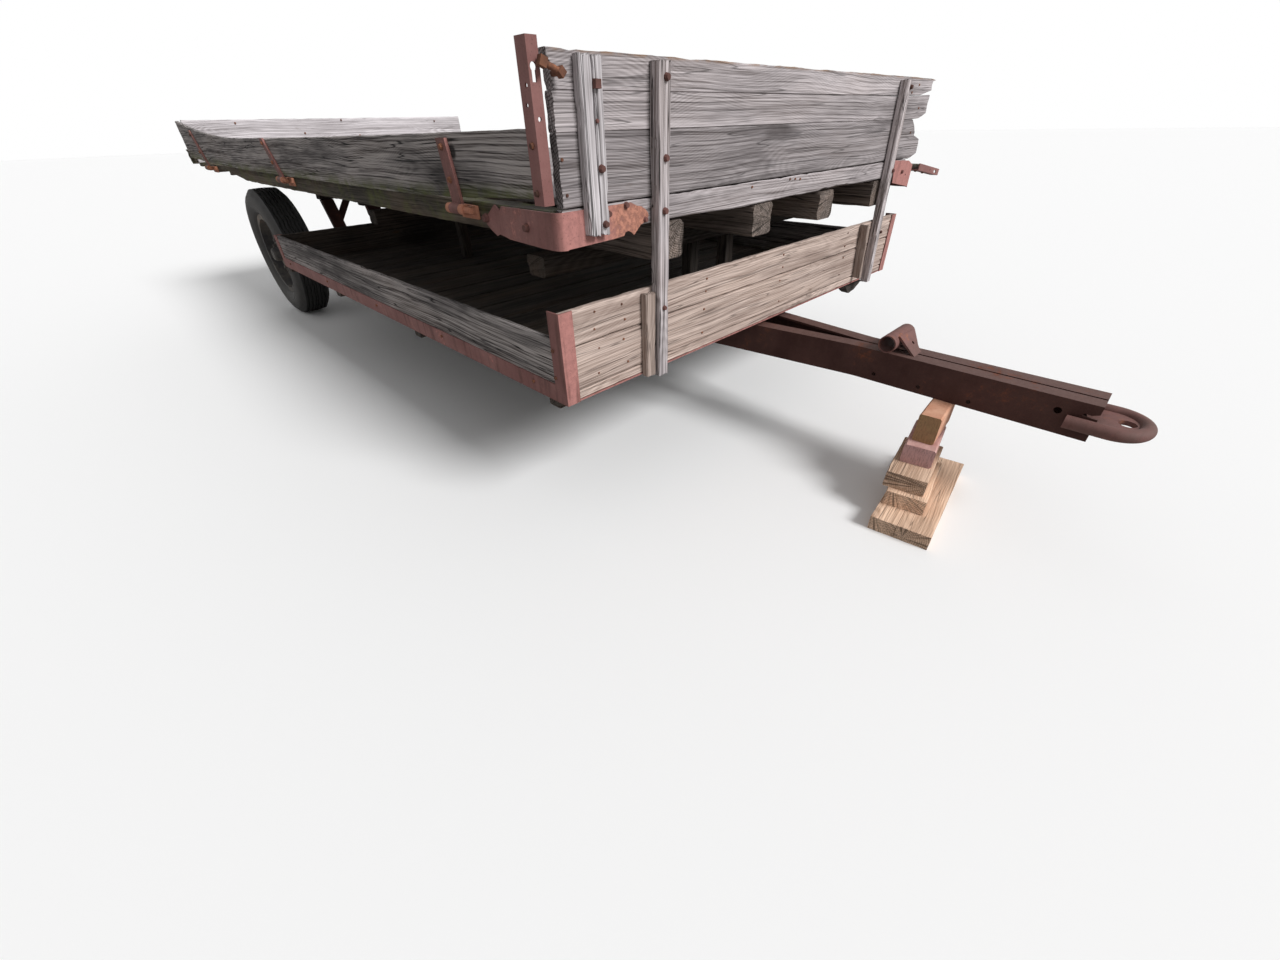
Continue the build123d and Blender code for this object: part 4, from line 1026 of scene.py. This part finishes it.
class TrailerMakeDropSides(bpy.types.Operator):
    """Make the swept planks of the two drop sides"""

    bl_idname = "trailer.make_drop_sides"
    bl_label = "Drop sides"

    def execute(self, context):
        look = timber_materials()
        low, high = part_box("drop_side_plank_left")
        top = sweep(1.239 - low.z, 0.019, 3.0, 0.113, 3.0)
        foot = sweep(1.073 - low.z, 0.034, 1.13, 0.035, 2.6)
        pivot, turn, drop = right_swing()
        inside_hinge = 0.039
        shut_low = Vector((pivot.x - inside_hinge, low.y, low.z - drop))
        spun = turn.to_3x3()
        for word, origin, across, through, seed in (
            ("Left", low, Z, X, 31), ("Right", pivot + turn @ (shut_low - pivot), spun @ Z, spun @ X, 32),
        ):
            row = board(
                origin, Y, across, through, high.y - low.y, high.z - low.z, high.x - low.x, low=foot,
                high=top, wear=1.1, groove=1.5, jag=0.008, bites=12, rows=16, step=0.035, tone=1.0,
            )
            side = "_" + word.lower()
            timbers(
                "SidePlank" + word, [row], look["side"], "drop_side_plank" + side, seed,
                "drop_side" + side,
            )
        return {"FINISHED"}


def packing_block():
    """The rotten packing block below the tray's right front corner."""
    length = 0.230
    depths = (0, 0.020, 0.052, 0.060, 0.054, 0.030, 0.016)
    stops = np.linspace(0, length, len(depths))
    return board(
        at(730, 40, 496), X, -Z, Y, length, 0.060, 0.050, wear=2.0, jag=0.012, bites=6, step=0.01,
        high=lambda s: 0.004 + np.interp(s, stops, depths),
    )


class TrailerMakeTray(bpy.types.Operator):
    """Make the low tray's boards and battens"""

    bl_idname = "trailer.make_tray"
    bl_label = "Low tray"

    def execute(self, context):
        look = timber_materials()
        box_timbers(
            "TrayFront", "tray_front_boards", look["tray"], "tray_planks", "x", "y", 41, step=0.025, bites=6,
            tone=1.1,
        )
        low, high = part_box("tray_side_boards")
        run, thick, fall = high.y - low.y, 0.025, 0.016
        rows = [
            box_board((near, low.y, low.z), (far, high.y, high.z), "y", "x", step=0.03, bites=10, groove=1.5,
                      high=lambda s: high.z - low.z - fall * s / run)
            for near, far in ((low.x, low.x + thick), (high.x - thick, high.x))
        ]
        timbers("TraySides", rows, look["side"], "tray_side_boards", 42)
        # The tray's rear board, floor and members take the dark low timber, painted shade inside and under
        # the tray.
        box_timbers("TrayRear", "tray_rear_board", look["low"], "side_planks", "x", "y", 43, bites=5)
        box_timbers(
            "TrayFloor", "tray_floorboards", look["low"], "frame_timber", "x", "z", 44, jag=0.01, step=0.05,
        )
        member_thick = 0.024
        rows = [
            box_board((near.x, near.y, far.z - member_thick), far, "x", "z", step=0.06, rows=5)
            for near, far in solids("tray_cross_members")
        ]
        rows.append(packing_block())
        timbers("TrayMembers", rows, look["low"], "tray_cross_members", 45)
        face = low.y - thick
        rows = []
        for top_x, foot_x, wide, deep, top_z, foot_z in (
            (-0.905, -0.905, 0.048, 0.028, 0.806, 0.512), (0.690, 0.728, 0.020, 0.045, 0.812, 0.546),
        ):
            foot = Vector((DECK_X + foot_x, face - deep, foot_z))
            head = Vector((DECK_X + top_x, face - deep, top_z))
            rows.append(leaning_board(
                foot, head, wide, deep, wear=1.2, jag=0.006, rows=5, step=0.02, tone=0.78,
            ))
        timbers("TrayBattens", rows, look["tray"], "tray_front_battens", 46)
        return {"FINISHED"}


def split_base(origin, along, across, long, wide, tall, worn):
    """The stack's base timber as two halves, with a fine split that opens at one end."""
    left = wide * 0.56
    worn = dict(worn, corner=0.0012)
    opening, reach = 0.0012, 0.35
    return [
        board(origin, along, across, Z, long, left, tall, **worn, snug_high=0.05,
              high=lambda s: left - opening * np.clip(1 - s / reach, 0, 1)),
        board(origin + across * left, along, across, Z, long, wide * 0.44, tall, **worn, snug_low=0.05),
    ]


class TrailerMakeStack(bpy.types.Operator):
    """Make the parking stack's timbers and bricks"""

    bl_idname = "trailer.make_stack"
    bl_label = "Parking stack"

    def execute(self, context):
        block = timber_materials()["block"]
        purple, orange = brick("PurpleBrick", "purple"), brick("OrangeBrick", "orange")
        timber = {"corner": 0.003, "wear": 0.7}
        fired = {"corner": 0.006, "wear": 0.25, "jag": 0.001, "tone": 1.0}
        rows = (
            ("StackBase", "stack_base_timber", block, "block_timber", 0.578, 0.208, 7,
             dict(timber, jag=0.0020, tone=1.28)),
            ("StackLower", "stack_block_lower", block, "block_timber", 0.310, 0.142, 10,
             dict(timber, jag=0.0015, tone=1.32)),
            ("StackUpper", "stack_block_upper", block, "block_timber", 0.300, 0.144, 9,
             dict(timber, jag=0.0015, tone=1.02)),
            ("StackBrickFlat", "stack_brick_flat", purple, "purple_brick", 0.230, 0.110, 10, fired),
            ("StackBrickEdge", "stack_brick_edge", orange, "orange_brick", 0.230, 0.076, 5, fired),
        )
        for index, (name, node_name, material, slot, long, wide, degrees, finish) in enumerate(rows):
            low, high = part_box(node_name)
            middle = (low + high) / 2
            spun = Matrix.Rotation(math.radians(degrees), 3, "Z")
            along, across = spun @ X, spun @ Y
            origin = Vector((middle.x, middle.y, low.z)) - along * long / 2 - across * wide / 2
            worn = {"step": 0.012, "rows": 9, "groove": 0.5, "bites": 2, **finish}
            place = (origin, along, across)
            if name == "StackBase":
                pieces = split_base(*place, long, wide, high.z - low.z, worn)
            else:
                pieces = [board(*place, Z, long, wide, high.z - low.z, **worn)]
            timbers(name, pieces, material, node_name, 50 + index)
        return {"FINISHED"}


class TrailerMakeSteel(bpy.types.Operator):
    """Give the steelwork its worn paint and rust"""

    bl_idname = "trailer.make_steel"
    bl_label = "Steelwork"

    def execute(self, context):
        look = steel_materials()
        finishes = {
            "corner_plates": "plate", "tray_angle_frame": "angle", "drawbar_channels": "drawbar",
            "axle": "drawbar", "chassis_struts": "drawbar", "hitch_loop": "hitch", "hitch_plate": "hitch",
            "jack_pipe": "hitch", "pipe_gusset": "hitch", "latch_bolts": "rusty",
        }
        for word in ("left", "right"):
            finishes["hinge_brackets_" + word] = "bracket"
            finishes["drop_side_straps_" + word] = "strap"
            finishes["drop_side_post_" + word] = "oxide"
            finishes["rim_" + word] = "wheel"
            finishes["hub_" + word] = "wheel"
        for name, finish in finishes.items():
            materials = frame["nodes"][name].data.materials
            materials.clear()
            materials.append(look[finish])
        return {"FINISHED"}


# Tyres

# The sidewall from the bead outwards: inset from the side face, height over the bead, dust
SIDEWALL = (
    (0.037, 0.0, 0.7), (0.037, 0.028, 0.8), (0.031, 0.030, 0.9), (0.026, 0.035, 1.0), (0.019, 0.043, 1.0),
    (0.016, 0.046, 0.6), (0.0145, 0.050, 1.0), (0.008, 0.062, 1.0), (0.004, 0.072, 1.0), (0.0015, 0.082, 0.9),
    (0.0035, 0.086, 0.6), (0.002, 0.090, 1.0), (0.0005, 0.102, 1.0), (0.002, 0.120, 0.9),
    (0.0052, 0.136, 0.9), (0.0085, 0.146, 0.8), (0.0068, 0.149, 0.9), (0.011, 0.160, 0.8),
)
# The shoulder up to the tread: inset from the side face, depth below the crown, dust
SHOULDER = ((0.0175, 0.029, 0.7), (0.0245, 0.020, 0.6), (0.033, 0.011, 0.5))


def tyre_rows(width, radius, bead):
    """A tyre's outline from side to side: inset from one side face, distance from the axle, dust."""
    sizes = settings("wheels")
    depth, gap = sizes.groove_depth, sizes.groove_width
    half = [(inset, bead + over, dust) for inset, over, dust in SIDEWALL]
    half += [(inset, radius - below, dust) for inset, below, dust in SHOULDER]
    rib, wall, place = 0.026, 0.001, 0.038
    rubbed, filled = 0.25, 0.7
    while place < width / 2 - 0.004:
        crown = radius - 0.0075 * ((width / 2 - place) / (width / 2)) ** 2
        half += [
            (place, crown, rubbed), (place + rib - gap, crown + 0.0004, rubbed),
            (place + rib - gap + wall, crown - depth, filled), (place + rib - wall, crown - depth, filled),
        ]
        place += rib
    half = [row for row in half if row[0] <= width / 2]
    return half + [(width - inset, far, dust) for inset, far, dust in reversed(half)]


def make_tyre(name, node_name, body):
    """A ribbed tyre turned round its axle, with ribs that wave a little and notches in its shoulders."""
    low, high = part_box(node_name)
    centre = (low + high) / 2
    radius, width = (high.z - low.z) / 2, high.x - low.x
    clearance, sidewall, sway, notch = 0.0006, 0.198, 0.0028, 0.004
    rows = tyre_rows(width, radius - clearance, radius - sidewall)
    steps, count = settings("wheels").segments, len(rows)
    points, faces, dust = [], [], []
    for index in range(steps):
        angle = 2 * math.pi * index / steps
        wave = sway if index % 4 < 2 else -sway
        for inset, far, dusty in rows:
            edge = min(inset, width - inset)
            on_tread = far > radius - 0.012 and edge > 0.05
            notched = index % 4 == 0 and 0.011 <= edge <= 0.034 and far > radius - 0.045
            reach = far - (notch if notched else 0.0)
            points.append((
                low.x + inset + (wave if on_tread else 0.0), centre.y + reach * math.cos(angle),
                centre.z + reach * math.sin(angle),
            ))
            dust.append(dusty)
        here, there = index * count, (index + 1) % steps * count
        for k in range(count):
            k2 = (k + 1) % count
            faces.append((here + k, here + k2, there + k2, there + k))
    made = mesh_object(name, points, faces, rubber("DustyRubber"))
    made.data.attributes.new("dust", "FLOAT", "POINT").data.foreach_set("value", dust)
    outward(made)
    made.data.set_sharp_from_angle(angle=math.radians(35))
    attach(made, body)
    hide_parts(node_name)


def outward(made):
    """Turns a closed piece's faces to the outside."""
    mesh = bmesh.new()
    mesh.from_mesh(made.data)
    bmesh.ops.recalc_face_normals(mesh, faces=mesh.faces)
    mesh.to_mesh(made.data)
    mesh.free()
    made.data.update()


class TrailerMakeTyres(bpy.types.Operator):
    """Make the two tyres"""

    bl_idname = "trailer.make_tyres"
    bl_label = "Tyres"

    def execute(self, context):
        make_tyre("TyreLeft", "tyre_left", "wheel_left")
        make_tyre("TyreRight", "tyre_right", "wheel_right")
        return {"FINISHED"}


# Fastenings, placed by Geometry Nodes on points that carry a facing and a size

FULL_TURN = (0.0, 2 * math.pi)


def heads_tree(material):
    """Puts a low domed or faceted head on each point, turned at random about its facing."""
    tree = bpy.data.node_groups.new("FastenerHeads", "GeometryNodeTree")
    face = tree.interface
    face.new_socket("Geometry", in_out="INPUT", socket_type="NodeSocketGeometry")
    for label, kind, default in (
        ("Head radius", "NodeSocketFloat", 0.01), ("Head height", "NodeSocketFloat", 0.006),
        ("Top share", "NodeSocketFloat", 0.8), ("Sides", "NodeSocketInt", 6),
        ("Turn seed", "NodeSocketInt", 0), ("Least turn", "NodeSocketFloat", FULL_TURN[0]),
        ("Most turn", "NodeSocketFloat", FULL_TURN[1]),
    ):
        face.new_socket(label, in_out="INPUT", socket_type=kind).default_value = default
    face.new_socket("Geometry", in_out="OUTPUT", socket_type="NodeSocketGeometry")
    enter = node(tree, "NodeGroupInput").outputs
    leave = node(tree, "NodeGroupOutput")
    top = times(tree, enter["Head radius"], enter["Top share"])
    head = node(tree, "GeometryNodeMeshCone", {
        "Vertices": enter["Sides"], "Radius Top": top, "Radius Bottom": enter["Head radius"],
        "Depth": enter["Head height"],
    }).outputs[0]
    named = "GeometryNodeInputNamedAttribute"
    facing = node(tree, named, {"Name": "facing"}, data_type="FLOAT_VECTOR").outputs[0]
    scale = node(tree, named, {"Name": "scale"}, data_type="FLOAT").outputs[0]
    align = node(tree, "FunctionNodeAlignRotationToVector", {"Vector": facing}, axis="Z").outputs[0]
    spin = node(tree, "FunctionNodeRandomValue", {
        2: enter["Least turn"], 3: enter["Most turn"], "Seed": enter["Turn seed"],
    }, data_type="FLOAT").outputs[1]
    turn = node(tree, "FunctionNodeAxisAngleToRotation", {"Axis": (0, 0, 1), "Angle": spin}).outputs[0]
    both = node(tree, "FunctionNodeRotateRotation", {0: align, 1: turn}, rotation_space="LOCAL").outputs[0]
    spread = node(tree, "GeometryNodeInstanceOnPoints", {
        "Points": enter["Geometry"], "Instance": head, "Rotation": both, "Scale": scale,
    }).outputs[0]
    real = node(tree, "GeometryNodeRealizeInstances", {0: spread}).outputs[0]
    done = node(tree, "GeometryNodeSetMaterial", {"Geometry": real, "Material": material})
    tree.links.new(done.outputs[0], leave.inputs[0])
    return tree


def heads(name, rows, material, radius, height, top, sides, seed, body="base",
          turns=FULL_TURN):
    """Heads at rows of (point, facing, scale), as one plain mesh on a body."""
    points, facings, scales = zip(*rows)
    source = bpy.data.meshes.new(name)
    source.from_pydata([tuple(point) for point in points], [], [])
    flat = [c for facing in facings for c in facing]
    source.attributes.new("facing", "FLOAT_VECTOR", "POINT").data.foreach_set("vector", flat)
    source.attributes.new("scale", "FLOAT", "POINT").data.foreach_set("value", scales)
    made = bpy.data.objects.new(name, source)
    bpy.context.scene.collection.objects.link(made)
    tree = heads_tree(material)
    modifier = made.modifiers.new("Heads", "NODES")
    modifier.node_group = tree
    values = {
        "Head radius": radius, "Head height": height, "Top share": top, "Sides": sides,
        "Turn seed": settings("fasteners").seed + seed, "Least turn": turns[0], "Most turn": turns[1],
    }
    for item in tree.interface.items_tree:
        if item.in_out == "INPUT" and item.name in values:
            modifier[item.identifier] = values[item.name]
    plain(made, body)


def plain(made, body):
    """Turns a piece with a Geometry Nodes modifier into a plain mesh that rides on a body."""
    bpy.context.view_layer.update()
    graph = bpy.context.evaluated_depsgraph_get()
    mesh = bpy.data.meshes.new_from_object(made.evaluated_get(graph))
    made.modifiers.clear()
    made.data = mesh
    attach(made, body)


# Bolts on faces that look forward: x, d and z in millimetres, and their scale
FRONT_BOLTS = (
    (-1076, -30, 1268, 0.5), (-1070, -30, 1165, 1.0), (-1066, -30, 1032, 0.95),
    (-828, -41, 1361, 0.95), (-829, -41, 1177, 0.95), (-832, -41, 1041, 1.0), (-832, -41, 749, 0.8),
    (832, -41, 1367, 0.9), (845, -41, 1040, 0.9), (872, -41, 760, 0.8),
    (-960, -4, 1067, 0.9), (-1030, -4, 1052, 0.9), (-880, -4, 1020, 0.8), (1060, -4, 1020, 0.9),
)
# Bolts on the corner plates' side legs: d and z in millimetres, and their scale
PLATE_BOLTS = ((355, 1033, 1.25), (143, 1025, 1.15))
# Nails in the headboard: x and z in millimetres
HEADBOARD_NAILS = (
    (-313, 1061), (-53, 1067), (-14, 1065), (25, 1062), (-1172, 1370), (-1176, 1190), (-1170, 1110),
    (1030, 1380), (1090, 1290), (1060, 1190), (960, 1350),
)
# Nails in the tray's front boards: their columns and rows
TRAY_NAILS_X = (-1100, -980, -560, -20, 560, 1060)
TRAY_NAILS_Z = (590, 672, 735, 786)
# Nails in the tailboard's inner face: x and z
TAIL_NAILS = ((-844, 1331), (-337, 1249), (5, 1340), (138, 1221), (922, 1319))
# Nails along the tray's left side: d and z
SIDE_NAILS = ((42, 696), (44, 606), (176, 556), (827, 559), (1500, 556), (2200, 558), (2900, 556))
# The drop sides' straps: d at the foot, how far the strap leans back, z at its top
STRAPS = ((450, 26, 1239), (2325, 130, 1239), (4185, 175, 1287))


def nail_rows(rng):
    """Nails of the headboard, the tray's front, the tailboard and the tray's left side."""
    rows = [(at(x, 1, z), FRONT, 1.0) for x, z in HEADBOARD_NAILS]
    for x in TRAY_NAILS_X:
        for z in TRAY_NAILS_Z:
            spot = at(x + rng.uniform(-12, 12), 1, z + rng.uniform(-6, 6))
            rows.append((spot, FRONT, rng.uniform(0.7, 1.0)))
    rows += [(at(x, 4799, z), FRONT, 1.6) for x, z in TAIL_NAILS]
    rows += [(at(-1248, d, z), LEFT, 1.3) for d, z in SIDE_NAILS]
    return rows


def side_bolts():
    """Bolts of a shut drop side's post and straps: x, d and z in millimetres, and their scale."""
    places = [(1249, 16, 1222, 0.8), (1249, 20, 1120, 0.8)]
    foot = 1056
    for d, lean, top in STRAPS:
        for share_up in (0.42, 0.88):
            places.append((1254, d + lean * share_up, foot + (top - foot) * share_up, 0.9))
    return places


def nut_rows(word):
    """Wheel nuts in a circle on one wheel's outer face."""
    wheels = settings("wheels")
    sign = -1 if word == "Left" else 1
    low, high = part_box("tyre_" + word.lower())
    centre = (low + high) / 2
    inset = 0.072
    x = (low.x if sign < 0 else high.x) - sign * inset
    rows = []
    for index in range(wheels.nut_count):
        angle = 2 * math.pi * (index + 0.5) / wheels.nut_count
        y = centre.y + wheels.nut_circle * math.cos(angle)
        z = centre.z + wheels.nut_circle * math.sin(angle)
        rows.append((Vector((x, y, z)), X * sign, 1.0))
    return rows


class TrailerMakeFasteners(bpy.types.Operator):
    """Put the nails, bolts and wheel nuts in their places"""

    bl_idname = "trailer.make_fasteners"
    bl_label = "Nails and bolts"

    def execute(self, context):
        look = steel_materials()
        sizes = settings("fasteners")
        bolt = sizes.bolt_radius
        square_on = (math.radians(42), math.radians(48))
        heads(
            "SquareBolts", [(at(-1074, -30, 1342), FRONT, 1.0)], look["bolt"], bolt * 1.25, 0.012, 0.95,
            sides=4, seed=5, turns=square_on,
        )
        drop_mm = 45
        rows = [(at(x, d, z), FRONT, scale) for x, d, z, scale in FRONT_BOLTS]
        rows += [(at(-1213, d, z), LEFT, scale) for d, z, scale in PLATE_BOLTS]
        rows += [(at(1213, d, z - drop_mm), X, scale) for d, z, scale in PLATE_BOLTS]
        heads("FrameBolts", rows, look["bolt"], bolt, 0.010, 0.72, sides=8, seed=1)
        rows = nail_rows(random.Random(sizes.seed))
        heads("Nails", rows, look["rusty"], sizes.nail_radius, 0.004, 0.9, sides=8, seed=2)
        places = side_bolts()
        rows = [(at(-x, d, z), LEFT, scale) for x, d, z, scale in places]
        heads("SideBoltsLeft", rows, look["rusty"], bolt, 0.008, 0.7, sides=8, seed=4, body="drop_side_left")
        pivot, turn, drop = right_swing()
        spun = turn.to_3x3()
        rows = [
            (pivot + spun @ (at(x, d, z) - Z * drop - pivot), spun @ X, scale) for x, d, z, scale in places
        ]
        heads(
            "SideBoltsRight", rows, look["rusty"], bolt, 0.008, 0.7, sides=8, seed=6, body="drop_side_right",
        )
        for word in ("Left", "Right"):
            heads(
                "WheelNuts" + word, nut_rows(word), look["wheel"], settings("wheels").nut_radius, 0.022, 0.8,
                sides=6, seed=3, body="wheel_" + word.lower(),
            )
        return {"FINISHED"}


# Stage

def pale_floor(scene, look):
    """A wide floor that is pale to the camera and duller in the light that it throws back."""
    reach = 60.0
    mesh = bpy.data.meshes.new("Floor")
    corners = [(-reach, -reach, 0), (reach, -reach, 0), (reach, reach, 0), (-reach, reach, 0)]
    mesh.from_pydata(corners, [], [(0, 1, 2, 3)])
    floor = bpy.data.objects.new("Floor", mesh)
    scene.collection.objects.link(floor)
    material, tree, shader = new_material("PaleFloor")
    direct = node(tree, "ShaderNodeLightPath").outputs["Is Camera Ray"]
    fill(tree, shader.inputs["Base Color"], mix(tree, direct, tuple(look.bounce), tuple(look.floor)))
    fill(tree, shader.inputs["Roughness"], 0.9)
    mesh.materials.append(material)


def even_light(scene, look):
    """A world that lights evenly and is seen as white."""
    world = bpy.data.worlds.new("Studio")
    scene.world = world
    world.use_nodes = True
    tree = world.node_tree
    tree.nodes.clear()
    white = (1.0, 1.0, 1.0, 1.0)
    path = node(tree, "ShaderNodeLightPath").outputs
    even = node(tree, "ShaderNodeBackground", {"Color": white, "Strength": look.sky}).outputs[0]
    seen = node(tree, "ShaderNodeBackground", {"Color": white, "Strength": 1.0}).outputs[0]
    straight = plus(tree, path["Is Camera Ray"], path["Is Transmission Ray"], True)
    straight = plus(tree, straight, path["Is Glossy Ray"], True)
    blend = node(tree, "ShaderNodeMixShader", {0: straight, 1: even, 2: seen}).outputs[0]
    tree.links.new(blend, node(tree, "ShaderNodeOutputWorld").inputs[0])


def soft_lamps(scene, look):
    """A soft key lamp from the front and a weak fill lamp from behind."""
    middle = (CAD_BOX[0] + CAD_BOX[1]) / 2
    for name, place, energy, degrees in (
        ("Key", Vector((1.2, -7.0, 5.6)), look.key, 22), ("Fill", Vector((5.0, 6.0, 5.0)), look.fill, 60),
    ):
        lamp = bpy.data.lights.new(name, "SUN")
        lamp.energy = energy
        lamp.angle = math.radians(degrees)
        made = bpy.data.objects.new(name, lamp)
        made.location = middle + place
        made.rotation_euler = (-place).to_track_quat("-Z", "Y").to_euler()
        scene.collection.objects.link(made)


def aimed_camera(scene, look):
    """The camera, which looks down from the front left."""
    camera = bpy.data.cameras.new("Camera")
    camera.lens = look.lens
    camera.sensor_width = 36.0
    camera.clip_start = 0.05
    camera.clip_end = 300.0
    holder = bpy.data.objects.new("Camera", camera)
    flat = math.cos(look.pitch)
    forward = Vector((flat * math.sin(look.yaw), flat * math.cos(look.yaw), -math.sin(look.pitch)))
    level = Vector((math.cos(look.yaw), -math.sin(look.yaw), 0))
    side = level * math.cos(look.roll) + forward.cross(level) * math.sin(look.roll)
    up = -forward.cross(side)
    turn = Matrix((side, up, -forward)).transposed().to_4x4()
    holder.matrix_world = Matrix.Translation(CAMERA_PLACE) @ turn
    scene.collection.objects.link(holder)
    scene.camera = holder


class TrailerMakeStage(bpy.types.Operator):
    """Set up the floor, the soft lamps and the camera"""

    bl_idname = "trailer.make_stage"
    bl_label = "Stage"

    def execute(self, context):
        look = settings("stage")
        for make in (pale_floor, even_light, soft_lamps, aimed_camera):
            make(context.scene, look)
        context.scene.view_settings.view_transform = "Standard"
        return {"FINISHED"}


OPERATORS = (
    TrailerMakeStage, TrailerMakeDeck, TrailerMakeHeadboard, TrailerMakeTail, TrailerMakeDropSides,
    TrailerMakeTray, TrailerMakeStack, TrailerMakeSteel, TrailerMakeTyres, TrailerMakeFasteners,
)
GROUPS = {
    "timber": TrailerTimberSettings, "steel": TrailerSteelSettings, "bricks": TrailerBrickSettings,
    "wheels": TrailerWheelSettings, "fasteners": TrailerFastenerSettings, "stage": TrailerStageSettings,
}


class TrailerPanel(bpy.types.Panel):
    """The trailer's pieces and settings."""

    bl_idname = "VIEW3D_PT_trailer"
    bl_label = "Farm trailer"
    bl_space_type = "VIEW_3D"
    bl_region_type = "UI"
    bl_category = "Trailer"

    def draw(self, context):
        for operator in OPERATORS:
            self.layout.operator(operator.bl_idname)
        for name, group in GROUPS.items():
            box = self.layout.box()
            box.label(text=name.capitalize())
            for field in group.__annotations__:
                box.prop(settings(name), field)


def register():
    """Registers the classes and gives the scene its settings."""
    for group in GROUPS.values():
        bpy.utils.register_class(group)
    for operator in (*OPERATORS, TrailerPanel):
        bpy.utils.register_class(operator)
    for name, group in GROUPS.items():
        setattr(bpy.types.Scene, "trailer_" + name, bpy.props.PointerProperty(type=group))


def unregister():
    """Takes the settings and the classes away again."""
    for name in GROUPS:
        delattr(bpy.types.Scene, "trailer_" + name)
    for operator in (TrailerPanel, *OPERATORS):
        bpy.utils.unregister_class(operator)
    for group in GROUPS.values():
        bpy.utils.unregister_class(group)


def main():
    """Makes the trailer piece by piece."""
    register()
    for operator in OPERATORS:
        family, name = operator.bl_idname.split(".")
        getattr(getattr(bpy.ops, family), name)()


if __name__ == "__main__":
    main()
